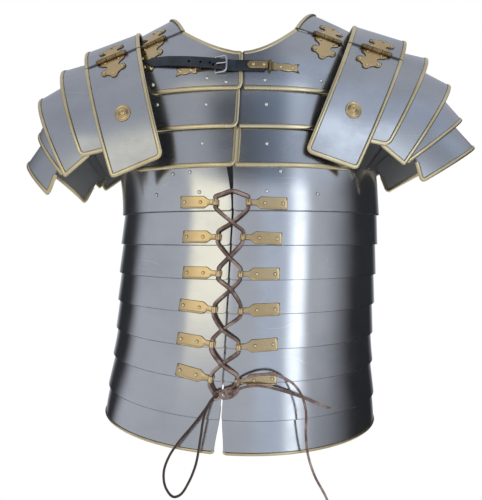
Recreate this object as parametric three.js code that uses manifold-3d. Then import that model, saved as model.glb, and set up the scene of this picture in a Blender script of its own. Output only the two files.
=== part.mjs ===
// Roman segmented plate armour: collar, chest and back plates, shoulder guards and a girdle of hoops.
// It is modelled as it is worn and closed, at its real size, in millimetres.
// The origin is the point between the shoulders where the wearer carries it.
// +X is the wearer's left, -Y is the front and +Z is up.
import * as THREE from "three";
import { mergeVertices } from "three/addons/utils/BufferGeometryUtils.js";
import Module from "manifold-3d";

const wasm = await Module();
wasm.setup();

// Driving sizes
const steel = 1.2; // thickness of every plate
const halfWidth = 183; // of the girdle, side to side
const halfDepth = 150; // of the girdle, front to back
const collarHalfWidth = 190;
const chestHalfDepth = 133;
const rimFlare = 8; // the lowest hoop widens over the hips
const springLine = -110; // height where the chest starts to curve in to the shoulders
const waistTop = -260; // height where the body becomes an even oval
const rimHeight = -547;
const shoulderHeight = 19; // top of the collar at collarReference from the middle
const collarReference = 101.5;
const collarSlope = 0.42; // fall of the shoulder line outwards
const bodyShift = 11; // the girdle's middle, towards the wearer's left at its top
const bodyLean = 0.055; // and how far it comes back for each millimetre down
const shoulderTilt = 0.035; // the wearer's left shoulder is carried higher
const rimTilt = 0.03; // and the girdle's lower edge hangs lower on that side
const rimRise = 7; // the lower edge is cut higher over the hips

const hoopBottoms = [-259, -300, -341, -381, -422, -461.5, -507, rimHeight];
const hoopHeight = 55;
const firstHoopHeight = 58.5;
const hoopCorner = 11;
const lap = 4.2; // each plate's top sits this much inside its lower edge, to pass under the next
const firstHoopLap = 2.15;
const seamOffset = -24; // the girdle's front seam, from the body's middle
const seamGap = 2;
const openRimGap = 11; // the two halves stand apart at the rim
const tieLoopHoops = 6; // the upper hoops carry tie-loops

const chestSeam = -4;
const plateGap = 1.6;
const brown = new THREE.MeshStandardMaterial({ color: 0x4a3524, roughness: 0.75, metalness: 0 });
const black = new THREE.MeshStandardMaterial({ color: 0x1d2026, roughness: 0.5, metalness: 0 });
const satinSteel = new THREE.MeshStandardMaterial({ color: 0x9aa3ac, roughness: 0.42, metalness: 1 });
const brightSteel = new THREE.MeshStandardMaterial({ color: 0xb4b8bb, roughness: 0.28, metalness: 1 });
const brass = new THREE.MeshStandardMaterial({ color: 0xc59c54, roughness: 0.35, metalness: 1 });
const silver = new THREE.MeshStandardMaterial({ color: 0xc4c6c8, roughness: 0.25, metalness: 1 });

const armour = new THREE.Group();

function addPiece(name, geometry, material) {
  const mesh = new THREE.Mesh(geometry, material);
  mesh.name = name;
  armour.add(mesh);
}

function smooth(value) {
  const t = Math.min(Math.max(value, 0), 1);
  return t * t * (3 - 2 * t);
}

function mix(a, b, t) {
  return a + (b - a) * t;
}

// Even steps from a to b.
function steps(a, b, count) {
  return Array.from({ length: count + 1 }, (_, i) => mix(a, b, i / count));
}

function signedVolume(points, triangles) {
  let sum = 0;
  for (const [a, b, c] of triangles) sum += points[a].dot(points[b].clone().cross(points[c]));
  return sum / 6;
}

function closedGeometry(points, triangles) {
  const turned = signedVolume(points, triangles) < 0;
  const index = triangles.flatMap(([a, b, c]) => (turned ? [a, c, b] : [a, b, c]));
  const geometry = new THREE.BufferGeometry().setFromPoints(points);
  geometry.setIndex(index);
  geometry.computeVertexNormals();
  return geometry;
}

// A plate of even thickness. surface(u, v, off) gives a point that stands off from the plate's outer face.
function plate(surface, us, vs, thickness = steel, off = 0) {
  const points = [];
  const triangles = [];
  for (const depth of [off, off - thickness])
    for (const u of us) for (const v of vs) points.push(surface(u, v, depth));
  const at = (side, i, j) => (side * us.length + i) * vs.length + j;
  const quad = (a, b, c, d) => triangles.push([a, b, c], [a, c, d]);
  const lastU = us.length - 1;
  const lastV = vs.length - 1;
  for (let i = 0; i < lastU; i++)
    for (let j = 0; j < lastV; j++) {
      quad(at(0, i, j), at(0, i + 1, j), at(0, i + 1, j + 1), at(0, i, j + 1));
      quad(at(1, i, j), at(1, i, j + 1), at(1, i + 1, j + 1), at(1, i + 1, j));
    }
  for (let i = 0; i < lastU; i++) {
    quad(at(0, i, 0), at(1, i, 0), at(1, i + 1, 0), at(0, i + 1, 0));
    quad(at(0, i, lastV), at(0, i + 1, lastV), at(1, i + 1, lastV), at(1, i, lastV));
  }
  for (let j = 0; j < lastV; j++) {
    quad(at(0, 0, j), at(0, 0, j + 1), at(1, 0, j + 1), at(1, 0, j));
    quad(at(0, lastU, j), at(1, lastU, j), at(1, lastU, j + 1), at(0, lastU, j + 1));
  }
  return closedGeometry(points, triangles);
}

// Booleans
function solidOf(geometry) {
  const bare = geometry.index ? geometry.toNonIndexed() : geometry.clone();
  bare.deleteAttribute("normal");
  bare.deleteAttribute("uv");
  const merged = mergeVertices(bare, 1e-4);
  const mesh = new wasm.Mesh({
    numProp: 3,
    vertProperties: new Float32Array(merged.attributes.position.array),
    triVerts: new Uint32Array(merged.index.array),
  });
  return new wasm.Manifold(mesh);
}

function join(first, ...others) {
  let solid = solidOf(first);
  for (const other of others) solid = solid.add(solidOf(other));
  const mesh = solid.getMesh();
  const geometry = new THREE.BufferGeometry();
  geometry.setAttribute("position", new THREE.BufferAttribute(mesh.vertProperties, 3));
  geometry.setIndex(new THREE.BufferAttribute(mesh.triVerts, 1));
  geometry.computeVertexNormals();
  return geometry;
}

// The wearer's body, as a form that every plate lies on
function middleX(z) {
  if (z > waistTop) return bodyShift * smooth((springLine - z) / (springLine - waistTop));
  return bodyShift + bodyLean * (z - waistTop);
}

function widthAt(z) {
  const chest = smooth((z - waistTop) / (springLine - waistTop));
  const hips = smooth((hoopBottoms[4] - z) / (hoopBottoms[4] - rimHeight));
  return halfWidth + (collarHalfWidth - halfWidth) * chest + rimFlare * hips;
}

function depthAt(z) {
  return mix(halfDepth, chestHalfDepth, smooth((z - waistTop) / (springLine - waistTop)));
}

function girdlePoint(angle, z, off) {
  const across = (widthAt(z) + off) * Math.cos(angle);
  const share = smooth((waistTop - z) / (waistTop - rimHeight));
  const lift = share * (rimRise * Math.cos(angle) ** 2 - rimTilt * across);
  return new THREE.Vector3(middleX(z) + across, (depthAt(z) + off) * Math.sin(angle), z + lift);
}

function shoulderTop(x) {
  return shoulderHeight - (Math.abs(x) - collarReference) * collarSlope;
}

function collarDepth(x) {
  return chestHalfDepth * Math.sqrt(1 - (x / collarHalfWidth) ** 2);
}

function tiltAt(x, z) {
  return shoulderTilt * x * smooth((z - springLine) / 90);
}

// How far the body reaches forwards, or back, at a place on the chest or the back.
function torsoDepth(x, z, off) {
  if (z <= springLine) {
    const share = (x - middleX(z)) / (widthAt(z) + off);
    return (depthAt(z) + off) * Math.sqrt(Math.max(0, 1 - share * share));
  }
  const rise = (z - springLine) / (shoulderTop(x) - springLine + off);
  return (collarDepth(x) + off) * Math.sqrt(Math.max(0, 1 - rise * rise));
}

function torsoPoint(x, z, off, facing) {
  return new THREE.Vector3(x, facing * torsoDepth(x, z, off), z + tiltAt(x, z));
}

// A point on the way over the shoulder: turn is 0 at the chest, a quarter turn at the top.
function overShoulder(x, turn, off) {
  const depth = collarDepth(x) + off;
  const height = shoulderTop(x) - springLine + off;
  const z = springLine + height * Math.sin(turn);
  return new THREE.Vector3(x, -depth * Math.cos(turn), z + tiltAt(x, z));
}

// How far a rounded corner cuts into a plate's end, at a distance from its side edge.
function cornerCut(distance, radius) {
  if (distance >= radius) return 0;
  return radius - Math.sqrt(radius * radius - (radius - distance) ** 2);
}

// Sides are 1 for the wearer's left and -1 for the right. Facings are -1 for the front and 1 for the back.
const sides = { left: 1, right: -1 };
const facings = { front: -1, back: 1 };

// Collar, chest and back plates
const splitGap = 0.9; // half the gap between two hinged plates
const breastBottom = -111;
const chestPlateBottoms = [-158, -205.5];
const chestPlateHeight = 59;
const chestCorner = 12;

// The two shoulders differ a little: where the collar's hinges lie on the way over the shoulder,
// and how far the neck opening reaches.
function splitTurn(side) {
  return ((side > 0 ? 34.4 : 37.3) * Math.PI) / 180;
}

function neckCornerX(side) {
  return side > 0 ? 66 : 75;
}

function splitHeight(x, side) {
  return springLine + (shoulderTop(x) - springLine) * Math.sin(splitTurn(side)) - splitGap;
}

function neckHeight(x, side, facing) {
  const middle = facing < 0 ? -64 : -36;
  const cornerX = neckCornerX(side);
  return mix(middle, splitHeight(cornerX, side), (Math.min(x, cornerX) / cornerX) ** 1.8);
}

function seamX(z) {
  return chestSeam + 0.06 * Math.min(0, z - breastBottom);
}

// The top plate of the chest or back: from the neck edge and the collar hinge down to its lower edge.
function upperTorsoPlate(side, facing) {
  const topWidth = 141;
  const bottomWidth = 120;
  const surface = (u, v, off) => {
    const reach = u * topWidth;
    const inNeck = reach < neckCornerX(side);
    const top = inNeck ? neckHeight(reach, side, facing) : splitHeight(reach, side);
    const away = (1 - u) * bottomWidth;
    const z = mix(top, breastBottom + cornerCut(away, chestCorner), v);
    const x = side * mix(reach, u * bottomWidth, v);
    const seam = (seamX(z) + side * (plateGap / 2)) * (1 - u);
    return torsoPoint(x + seam, z, off, facing);
  };
  const corner = neckCornerX(side) / topWidth;
  const us = [...steps(0, corner, 5), ...steps(corner, 0.9, 3).slice(1), 0.96, 1];
  return plate(surface, us, steps(0, 1, 3));
}

function lowerTorsoPlate(side, facing, bottom, width) {
  const surface = (u, v, off) => {
    const away = (1 - u) * width;
    const cut = cornerCut(away, chestCorner);
    const z = mix(bottom + chestPlateHeight, bottom + cut, v);
    const tuck = (-lap * (z - bottom)) / chestPlateHeight;
    const seam = (seamX(z) + side * (plateGap / 2)) * (1 - u);
    return torsoPoint(side * u * width + seam, z, off + tuck, facing);
  };
  return plate(surface, [...steps(0, 0.88, 6), 0.93, 0.97, 1], steps(0, 1, 2));
}

// The plate that goes over the shoulder, between the hinges at the front and the back.
function collarPlate(side) {
  const surface = (u, v, off) => {
    const start = splitTurn(side);
    const turn = mix(start, Math.PI - start, u) + (splitGap / 130) * (1 - 2 * u);
    const neck = mix(neckCornerX(side), 101, Math.sin(Math.PI * u));
    const outer = mix(141, 163, Math.sin(Math.PI * u));
    return overShoulder(side * mix(neck, outer, v), turn, off);
  };
  return plate(surface, steps(0, 1, 10), steps(0, 1, 3));
}

for (const [sideName, side] of Object.entries(sides)) {
  addPiece(`collar_plate_${sideName}`, collarPlate(side), satinSteel);
  for (const [facingName, facing] of Object.entries(facings)) {
    const region = facing < 0 ? "chest" : "back";
    const topName = facing < 0 ? "breastplate" : "back_plate_upper";
    addPiece(`${topName}_${sideName}`, upperTorsoPlate(side, facing), satinSteel);
    const [middle, lower] = chestPlateBottoms;
    const middlePlate = lowerTorsoPlate(side, facing, middle, 128);
    addPiece(`${region}_plate_middle_${sideName}`, middlePlate, satinSteel);
    addPiece(`${region}_plate_lower_${sideName}`, lowerTorsoPlate(side, facing, lower, 142), satinSteel);
  }
}

// Girdle hoops with their tie-loops
const seamTurn = Math.asin(seamOffset / halfWidth); // the girdle sits turned on the body by this
const tieLoopFromSeam = 37; // middle of a tie-loop's plate, from the seam
const tieLoopRise = 8.5; // above the hoop's lower edge
const tieLoopReach = 20.5; // from the plate's middle to the ring's middle
const ringRadius = 5;
const ringHole = 2.4;
const loopPlateHalf = 8;
const loopPlateBack = 16.5;
const loopThickness = 2;

function hoopTop(number) {
  return hoopBottoms[number - 1] + (number === 1 ? firstHoopHeight : hoopHeight);
}

// How far inwards a hoop's outer face lies at a height.
function hoopTuck(number, z) {
  const bottom = hoopBottoms[number - 1];
  const inset = number === 1 ? firstHoopLap : lap;
  return (-inset * (z - bottom)) / (hoopTop(number) - bottom);
}

function gapAt(z) {
  return seamGap + (openRimGap - seamGap) * smooth((hoopBottoms[6] + 10 - z) / 50);
}

// The angle on the girdle's oval at a distance round from a seam.
function girdleAngle(side, facing, fromSeam, z) {
  const seam = (facing * Math.PI) / 2 - facing * seamTurn;
  return seam + (side * -facing * fromSeam) / widthAt(z);
}

function hoopSurface(number, side) {
  const bottom = hoopBottoms[number - 1];
  const top = hoopTop(number);
  return (u, v, off) => {
    const fromEnd = Math.min(u, 1 - u) * Math.PI * halfWidth * 0.9;
    const z = mix(top, bottom + cornerCut(fromEnd, hoopCorner), v);
    const start = girdleAngle(side, -1, gapAt(z) / 2, z);
    const end = girdleAngle(side, 1, seamGap / 2, z);
    const turn = side > 0 ? end - start : end - 2 * Math.PI - start;
    return girdlePoint(start + u * turn, z, off + hoopTuck(number, z));
  };
}

function loopOutline() {
  const shape = new THREE.Shape();
  const neck = tieLoopReach - ringRadius;
  shape.moveTo(-loopPlateBack, -loopPlateHalf);
  shape.lineTo(8, -loopPlateHalf);
  shape.lineTo(neck, -3);
  shape.absarc(tieLoopReach, 0, ringRadius, -2.5, 2.5, false);
  shape.lineTo(neck, 3);
  shape.lineTo(8, loopPlateHalf);
  shape.lineTo(-loopPlateBack, loopPlateHalf);
  shape.closePath();
  const hole = new THREE.Path();
  hole.absarc(tieLoopReach, 0, ringHole, 0, Math.PI * 2, true);
  shape.holes.push(hole);
  return shape;
}

// A tie-loop lies flat on its hoop, with its ring towards the seam.
function tieLoop(number, side, facing) {
  const z = hoopBottoms[number - 1] + tieLoopRise;
  const tuck = hoopTuck(number, z);
  const at = (fromSeam, height) => girdlePoint(girdleAngle(side, facing, fromSeam, height), height, tuck);
  const middle = at(tieLoopFromSeam, z);
  const towardSeam = at(tieLoopFromSeam - 8, z).sub(at(tieLoopFromSeam + 8, z)).normalize();
  const up = new THREE.Vector3(0, 0, 1);
  const outward = towardSeam.clone().cross(up).multiplyScalar(side * -facing * -1).normalize();
  const across = outward.clone().cross(towardSeam);
  const place = new THREE.Matrix4().makeBasis(towardSeam, across, outward);
  place.setPosition(middle.addScaledVector(outward, -0.8));
  const settings = { depth: loopThickness, bevelEnabled: false, curveSegments: 4 };
  return new THREE.ExtrudeGeometry(loopOutline(), settings).applyMatrix4(place);
}

for (const [sideName, side] of Object.entries(sides))
  for (let number = 1; number <= hoopBottoms.length; number++) {
    const ends = [0, 0.004, 0.01, 0.021];
    const us = [...ends, ...steps(0.08, 0.92, 13), ...ends.map((u) => 1 - u).reverse()];
    const hoop = plate(hoopSurface(number, side), us, [0, 1]);
    const loops = Object.values(facings).map((facing) => tieLoop(number, side, facing));
    const whole = number <= tieLoopHoops ? join(hoop, ...loops) : hoop;
    addPiece(`girdle_hoop_${number}_${sideName}`, whole, brightSteel);
  }

// Leather straps inside the girdle, on which the hoops hang
const leatherThickness = 2;
const leatherHalfWidth = 13;
const leatherTop = -198;
const leatherFromSeam = 95;
const leatherGap = 1.6; // to the hoops' inner faces

function girdleLeather(side, facing) {
  const surface = (u, v, off) => {
    const z = mix(leatherTop, rimHeight + 8, v);
    const fromSeam = leatherFromSeam + mix(-leatherHalfWidth, leatherHalfWidth, u);
    return girdlePoint(girdleAngle(side, facing, fromSeam, z), z, off - lap - steel - leatherGap);
  };
  return plate(surface, steps(0, 1, 2), steps(0, 1, 8), leatherThickness);
}

for (const [sideName, side] of Object.entries(sides))
  for (const [facingName, facing] of Object.entries(facings))
    addPiece(`girdle_leather_${facingName}_${sideName}`, girdleLeather(side, facing), brown);

// Shoulder guards: a strip is ruled between an inner and an outer rail, each half an oval over the arm
const swayAtEnds = -11; // the guards' ends hang towards the wearer's right
const guardCentre = { x: 160, z: -150 }; // the fan's axis
const tuckDepth = 3.6; // of a plate's inner edge under the plate above, at its ends

function railPoint(side, rail, turn) {
  const rise = Math.sin(turn);
  const x = side * mix(rail.end.x, rail.top.x, rise) + mix(swayAtEnds, rail.sway, rise);
  const z = mix(rail.end.z, rail.top.z, rise);
  return new THREE.Vector3(x, -rail.depth * Math.cos(turn), z + shoulderTilt * x);
}

// The surface between two rails, with its outward side away from the arm.
function ruledStrip(side, inner, outer) {
  const middle = new THREE.Vector3(side * guardCentre.x, 0, guardCentre.z);
  const bare = (turn, w) => inner(turn).lerp(outer(turn), w);
  return (turn, w, off) => {
    const point = bare(turn, w);
    const along = bare(turn + 0.01, w).sub(bare(turn - 0.01, w));
    const across = bare(turn, 1).sub(bare(turn, 0));
    const normal = along.cross(across).normalize();
    if (normal.dot(point.clone().sub(middle)) < 0) normal.negate();
    return point.addScaledVector(normal, off);
  };
}

// Where the main guard's leaves meet, as a turn from the front end.
function hingeTurn(side) {
  return ((side > 0 ? 48.3 : 50) * Math.PI) / 180;
}

const mainInner = { top: { x: 151, z: 4.5 }, end: { x: 86, z: -190 }, depth: 137, sway: 5.5 };
const mainOuter = { top: { x: 225, z: -19 }, end: { x: 151, z: -212.5 }, depth: 124, sway: 5 };
const tuckPlace = 0.76; // across the plate above, where a lesser plate's inner edge lies
// drop is how much further under the plate above the inner edge lies at the top of the arm, and
// endPlace is where it lies across that plate at the ends.
const lesserRails = [
  { top: { x: 257, z: -44 }, end: { x: 193, z: -183 }, depth: 111, start: 0.17, drop: 13, sway: 3.5 },
  { top: { x: 290.5, z: -83 }, end: { x: 215.5, z: -206.5 }, depth: 101, start: 0, drop: 12, sway: 3.5 },
  { top: { x: 300, z: -133.5 }, end: { x: 222.5, z: -203 }, depth: 92, start: 0.1, drop: 12, sway: 12 },
  { top: { x: 318, z: -173.5 }, end: { x: 243, z: -228 }, depth: 82, start: 0.12, drop: 10, sway: 13, endPlace: 0.46 },
];

function mainGuardSurface(side) {
  const inner = (turn) => railPoint(side, mainInner, turn);
  const outer = (turn) => railPoint(side, mainOuter, turn);
  return ruledStrip(side, inner, outer);
}

// Each lesser plate starts under the one above it and ends at its own outer rail.
function lesserSurfaces(side) {
  const surfaces = [];
  let above = mainGuardSurface(side);
  for (const rail of lesserRails) {
    const under = above;
    const inner = (turn) => {
      const depth = tuckDepth + rail.drop * Math.max(0, Math.sin(turn)) ** 2;
      const across = mix(rail.endPlace ?? tuckPlace, tuckPlace, Math.max(0, Math.sin(turn)));
      return under(mix(rail.start, Math.PI - rail.start, turn / Math.PI), across, -depth);
    };
    above = ruledStrip(side, inner, (turn) => railPoint(side, rail, turn));
    surfaces.push(above);
  }
  return surfaces;
}

function stripPlate(surface, from, to, count) {
  const length = 190;
  const width = 62;
  const rounded = (u, w, off) => {
    const edge = Math.min(w, 1 - w) * width;
    const cut = cornerCut(edge, 7) / length;
    const low = from === 0 ? cut : 0;
    const high = to === Math.PI ? cut : 0;
    return surface(mix(from + low, to - high, u), w, off);
  };
  const corners = [0, 0.03, 0.12, 0.88, 0.97, 1];
  return plate(rounded, steps(0, 1, count), from === 0 || to === Math.PI ? corners : [0, 1]);
}

// Hinges of the main guard: lobed brass leaves, knuckles and a pin
const knuckleRadius = 2.7;
const knuckleHole = 1.5;
const pinRadius = 1.2;
const pinHead = 2.3;
const hingeHalfWidth = 19.5;
const middleKnuckle = 6.5; // half its length
const knuckleGap = 0.4;
const leafMiddle = 12; // from the hinge line to the middle of a leaf
const leafThickness = 2.1; // of which a part is sunk in the steel
const leafSunk = 0.4;
const guardRadius = 161; // of the main guard near its hinges, to turn lengths into angles

function hingeFrame(side, facing) {
  const surface = mainGuardSurface(side);
  const turn = facing < 0 ? hingeTurn(side) : Math.PI - hingeTurn(side);
  const onPlate = surface(turn, 0.5, 0);
  const outward = surface(turn, 0.5, 1).sub(onPlate).normalize();
  const axis = surface(turn, 1, 0).sub(surface(turn, 0, 0)).normalize();
  const centre = onPlate.addScaledVector(outward, knuckleRadius);
  return { surface, turn, facing, axis, outward, centre };
}

// A frame on the guard beside the hinge line: x along the hinge, y away from it and z outwards.
function leafPlace(hinge, upper) {
  const way = upper ? -hinge.facing : hinge.facing;
  const near = hinge.surface(hinge.turn, 0.5, 0);
  const away = hinge.surface(hinge.turn + (way * 2 * leafMiddle) / guardRadius, 0.5, 0).sub(near);
  away.addScaledVector(hinge.axis, -away.dot(hinge.axis)).normalize();
  const outward = hinge.axis.clone().cross(away);
  if (outward.dot(hinge.outward) < 0) outward.negate();
  const place = new THREE.Matrix4().makeBasis(away.clone().cross(outward), away, outward);
  near.addScaledVector(away, leafMiddle).addScaledVector(outward, -leafSunk);
  return place.setPosition(near);
}

// Three round lobes on a short bar, like a duck's foot.
function lobedOutline() {
  const near = 4.4 - leafMiddle;
  const shape = new THREE.Shape();
  shape.moveTo(-hingeHalfWidth, near);
  shape.lineTo(hingeHalfWidth, near);
  shape.lineTo(hingeHalfWidth, near + 4);
  shape.absarc(12.4, 1.6, 5.6, -0.5, 2.2, false);
  shape.absarc(0, 5.2, 5.8, 0.3, Math.PI - 0.3, false);
  shape.absarc(-12.4, 1.6, 5.6, Math.PI - 2.2, Math.PI + 0.5, false);
  shape.lineTo(-hingeHalfWidth, near + 4);
  shape.closePath();
  return shape;
}

function knuckle(hinge, from, to) {
  const ring = new THREE.Shape();
  ring.absarc(0, 0, knuckleRadius, 0, Math.PI * 2, false);
  const hole = new THREE.Path();
  hole.absarc(0, 0, knuckleHole, 0, Math.PI * 2, true);
  ring.holes.push(hole);
  const settings = { depth: to - from, bevelEnabled: false, curveSegments: 5 };
  const across = hinge.axis.clone().cross(hinge.outward);
  const place = new THREE.Matrix4().makeBasis(hinge.outward, across, hinge.axis);
  place.setPosition(hinge.centre.clone().addScaledVector(hinge.axis, from));
  return new THREE.ExtrudeGeometry(ring, settings).applyMatrix4(place);
}

// One half of a hinge: the lobed leaf, a tab to each knuckle and the knuckles.
function hingeHalf(hinge, upper) {
  const end = hingeHalfWidth;
  const outer = middleKnuckle + knuckleGap;
  const spans = upper ? [[-end, -outer], [outer, end]] : [[-middleKnuckle, middleKnuckle]];
  const place = leafPlace(hinge, upper);
  const settings = { depth: leafThickness, bevelEnabled: false, curveSegments: 4 };
  const pieces = [new THREE.ExtrudeGeometry(lobedOutline(), settings).applyMatrix4(place)];
  for (const [from, to] of spans) {
    const tab = new THREE.BoxGeometry(to - from, 3.4, leafThickness);
    tab.translate((from + to) / 2, 3.3 - leafMiddle, leafThickness / 2);
    pieces.push(tab.applyMatrix4(place), knuckle(hinge, from, to));
  }
  return pieces;
}

function hingePin(hinge) {
  const half = hingeHalfWidth + knuckleGap;
  const profile = [
    [0, -half - 1.5],
    [pinHead, -half - 1.5],
    [pinHead, -half],
    [pinRadius, -half],
    [pinRadius, half],
    [pinHead, half],
    [pinHead, half + 1.5],
    [0, half + 1.5],
  ].map(([x, y]) => new THREE.Vector2(x, y));
  const across = hinge.axis.clone().cross(hinge.outward);
  const place = new THREE.Matrix4().makeBasis(across, hinge.axis, hinge.outward.clone().negate());
  if (place.determinant() < 0) place.makeBasis(across, hinge.axis, hinge.outward);
  place.setPosition(hinge.centre);
  return new THREE.LatheGeometry(profile, 10).applyMatrix4(place);
}

for (const [sideName, side] of Object.entries(sides)) {
  const main = mainGuardSurface(side);
  const gap = splitGap / guardRadius;
  const front = hingeFrame(side, -1);
  const back = hingeFrame(side, 1);
  const hinge = hingeTurn(side);
  const frontLeaf = stripPlate(main, 0, hinge - gap, 6);
  const backLeaf = stripPlate(main, Math.PI - hinge + gap, Math.PI, 6);
  const topPlate = stripPlate(main, hinge + gap, Math.PI - hinge - gap, 8);
  addPiece(`guard_front_leaf_${sideName}`, join(frontLeaf, ...hingeHalf(front, false)), satinSteel);
  addPiece(`guard_back_leaf_${sideName}`, join(backLeaf, ...hingeHalf(back, false)), satinSteel);
  const whole = join(topPlate, ...hingeHalf(front, true), ...hingeHalf(back, true));
  addPiece(`guard_top_plate_${sideName}`, whole, satinSteel);
  addPiece(`guard_hinge_pin_front_${sideName}`, hingePin(front), brass);
  addPiece(`guard_hinge_pin_back_${sideName}`, hingePin(back), brass);
  lesserSurfaces(side).forEach((surface, i) => {
    addPiece(`lesser_guard_${i + 1}_${sideName}`, stripPlate(surface, 0, Math.PI, 12), satinSteel);
  });
}

// Strap, buckle and hinged fittings across the breastplates
const strapHalfWidth = 6.9;
const strapThickness = 2.2;
const strapEnds = [-126, 26];
const buckle = { x: -26, z: -81.8, width: 17.5, height: 22, bar: 2.2, thickness: 1.5 };
const buckleLift = [0.25, 5.5]; // the frame's back face over its bar and over its far side
// The slot in the strap, in which the buckle's tongue swings.
const slot = { x: -33.2, z: -81.8, width: 10.2, height: 3.6 };

function strapHeight(x) {
  return -83 + 0.165 * Math.max(0, -x - 15);
}

function strapLift(x) {
  const overBar = smooth((-x - 8) / 8) * smooth((x + 112) / 20);
  return 0.4 + 2.3 * overBar;
}

// A band that follows the breastplates, with a half width, a height and a lift that vary along it.
function chestBand(xs, centre, halfWidthAt, liftAt, thickness) {
  const surface = (u, v, off) => {
    const x = u;
    const z = centre(x) + mix(1, -1, v) * halfWidthAt(x);
    return torsoPoint(x, z, liftAt(x) + off, -1);
  };
  return plate(surface, xs, [0, 0.5, 1], thickness, thickness);
}

function chestStrap() {
  const [tip, end] = strapEnds;
  const pointed = (x) => strapHalfWidth * Math.min(1, 0.12 + (x - tip) / 10);
  const xs = [tip, tip + 5, tip + 9, ...steps(-112, -16, 12), -12, -8, 0, 12, end];
  const band = solidOf(chestBand(xs, strapHeight, pointed, strapLift, strapThickness));
  const cutter = new THREE.BoxGeometry(slot.width, 30, slot.height);
  cutter.translate(slot.x, -torsoDepth(slot.x, slot.z, 0), slot.z + tiltAt(slot.x, slot.z));
  const mesh = band.subtract(solidOf(cutter)).getMesh();
  const geometry = new THREE.BufferGeometry();
  geometry.setAttribute("position", new THREE.BufferAttribute(mesh.vertProperties, 3));
  geometry.setIndex(new THREE.BufferAttribute(mesh.triVerts, 1));
  geometry.computeVertexNormals();
  return geometry;
}

// A frame on the chest at the buckle's bar: x to the wearer's left and outwards, y up, z outwards.
function bucklePlace() {
  const rise = Math.atan2(buckleLift[1] - buckleLift[0], buckle.width - buckle.bar);
  const barX = buckle.x - buckle.width / 2;
  const bar = torsoPoint(barX, buckle.z, buckleLift[0], -1);
  const far = torsoPoint(barX + buckle.width, buckle.z, buckleLift[0], -1);
  const up = torsoPoint(barX, buckle.z + 8, 0, -1).sub(torsoPoint(barX, buckle.z - 8, 0, -1)).normalize();
  const along = far.sub(bar).normalize().applyAxisAngle(up, -rise);
  const outward = along.clone().cross(up).normalize();
  return new THREE.Matrix4().makeBasis(along, outward.clone().cross(along), outward).setPosition(bar);
}

function buckleFrame() {
  const { width, height, bar, thickness } = buckle;
  const half = height / 2;
  const bend = 5;
  const shape = new THREE.Shape();
  shape.moveTo(0, -half);
  shape.lineTo(width - bend, -half);
  shape.quadraticCurveTo(width, -half, width, -half + bend);
  shape.lineTo(width, half - bend);
  shape.quadraticCurveTo(width, half, width - bend, half);
  shape.lineTo(0, half);
  shape.closePath();
  const hole = new THREE.Path();
  hole.moveTo(bar, -half + bar);
  hole.lineTo(bar, half - bar);
  hole.lineTo(width - bar, half - bar);
  hole.lineTo(width - bar, -half + bar);
  hole.closePath();
  shape.holes.push(hole);
  const settings = { depth: thickness, bevelEnabled: false, curveSegments: 4 };
  return new THREE.ExtrudeGeometry(shape, settings).applyMatrix4(bucklePlace());
}

// The tongue stands in the strap's slot beside the bar and reaches over the frame's far side.
function buckleTongue() {
  const tongueHalf = 1;
  const shape = new THREE.Shape();
  shape.moveTo(3.2, 0.2);
  shape.lineTo(4.6, 0.2);
  shape.lineTo(4.6, 3.8);
  shape.lineTo(17.2, 1.9);
  shape.lineTo(17.2, 3);
  shape.lineTo(3.2, 5.1);
  shape.closePath();
  const tongue = new THREE.ExtrudeGeometry(shape, { depth: tongueHalf * 2, bevelEnabled: false });
  const upright = new THREE.Matrix4().makeRotationX(Math.PI / 2);
  return tongue.translate(0, 0, -tongueHalf).applyMatrix4(upright).applyMatrix4(bucklePlace());
}

function strapFittingRight() {
  const halfWidthAt = (x) => {
    if (x > -58) return 4.6;
    return 3.4 + 2 * smooth((-x - 70) / 14) + 1.4 * smooth((x + 70) / 12);
  };
  const barEnd = buckle.x - buckle.width / 2 - 1.3;
  const xs = [-84, -79, -74, -70, -66, -62, -58, -50, -43, barEnd];
  return chestBand(xs, (x) => -86 + 0.06 * (x + 84), halfWidthAt, () => 0.3, 1.5);
}

function strapFittingLeft() {
  const halfWidthAt = (x) => {
    if (x < 10) return 2.2 + 2.8 * Math.sqrt(Math.max(0, 1 - ((10 - x) / 6.2) ** 2));
    if (x > 34.5) return 3.2 + 1.8 * smooth(Math.abs(x - 47) / 20);
    return x > 30.5 ? 6.4 : 4.8;
  };
  const liftAt = (x) => 0.3 + 2.7 * (1 - smooth((x - 27) / 3)) + (x > 30.6 && x < 34.4 ? 1.4 : 0);
  const xs = [4, 5, 7, 10, 26, 28.5, 30.4, 30.7, 32.5, 34.3, 34.6, 40, 47, 54, 61, 68];
  return chestBand(xs, () => -82, halfWidthAt, liftAt, 1.3);
}

addPiece("chest_strap", chestStrap(), black);
addPiece("buckle_frame", buckleFrame(), silver);
addPiece("buckle_tongue", buckleTongue(), silver);
addPiece("strap_fitting_left", strapFittingLeft(), brass);
addPiece("strap_fitting_right", strapFittingRight(), brass);

// Lacing: leather thongs from ring to ring, and the bow at the front
const thongRadius = 1.5;
const ringLift = 4.6; // the thong's middle over a hoop, at a ring
const overLift = 8.4; // and where it passes over itself
const knotHeight = -472;

function tube(points, count, radius = thongRadius) {
  const curve = new THREE.CatmullRomCurve3(points, false, "centripetal");
  const section = new THREE.Shape().absarc(0, 0, radius, 0, Math.PI * 2, false);
  const settings = { steps: count, extrudePath: curve, curveSegments: 4 };
  return new THREE.ExtrudeGeometry(section, settings);
}

function nearSeam(facing, side, fromSeam, z, lift) {
  return girdlePoint(girdleAngle(side, facing, fromSeam, z), z, lift);
}

function ringPlace(number, side, facing) {
  const z = hoopBottoms[number - 1] + tieLoopRise;
  return nearSeam(facing, side, tieLoopFromSeam - tieLoopReach, z, ringLift);
}

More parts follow.
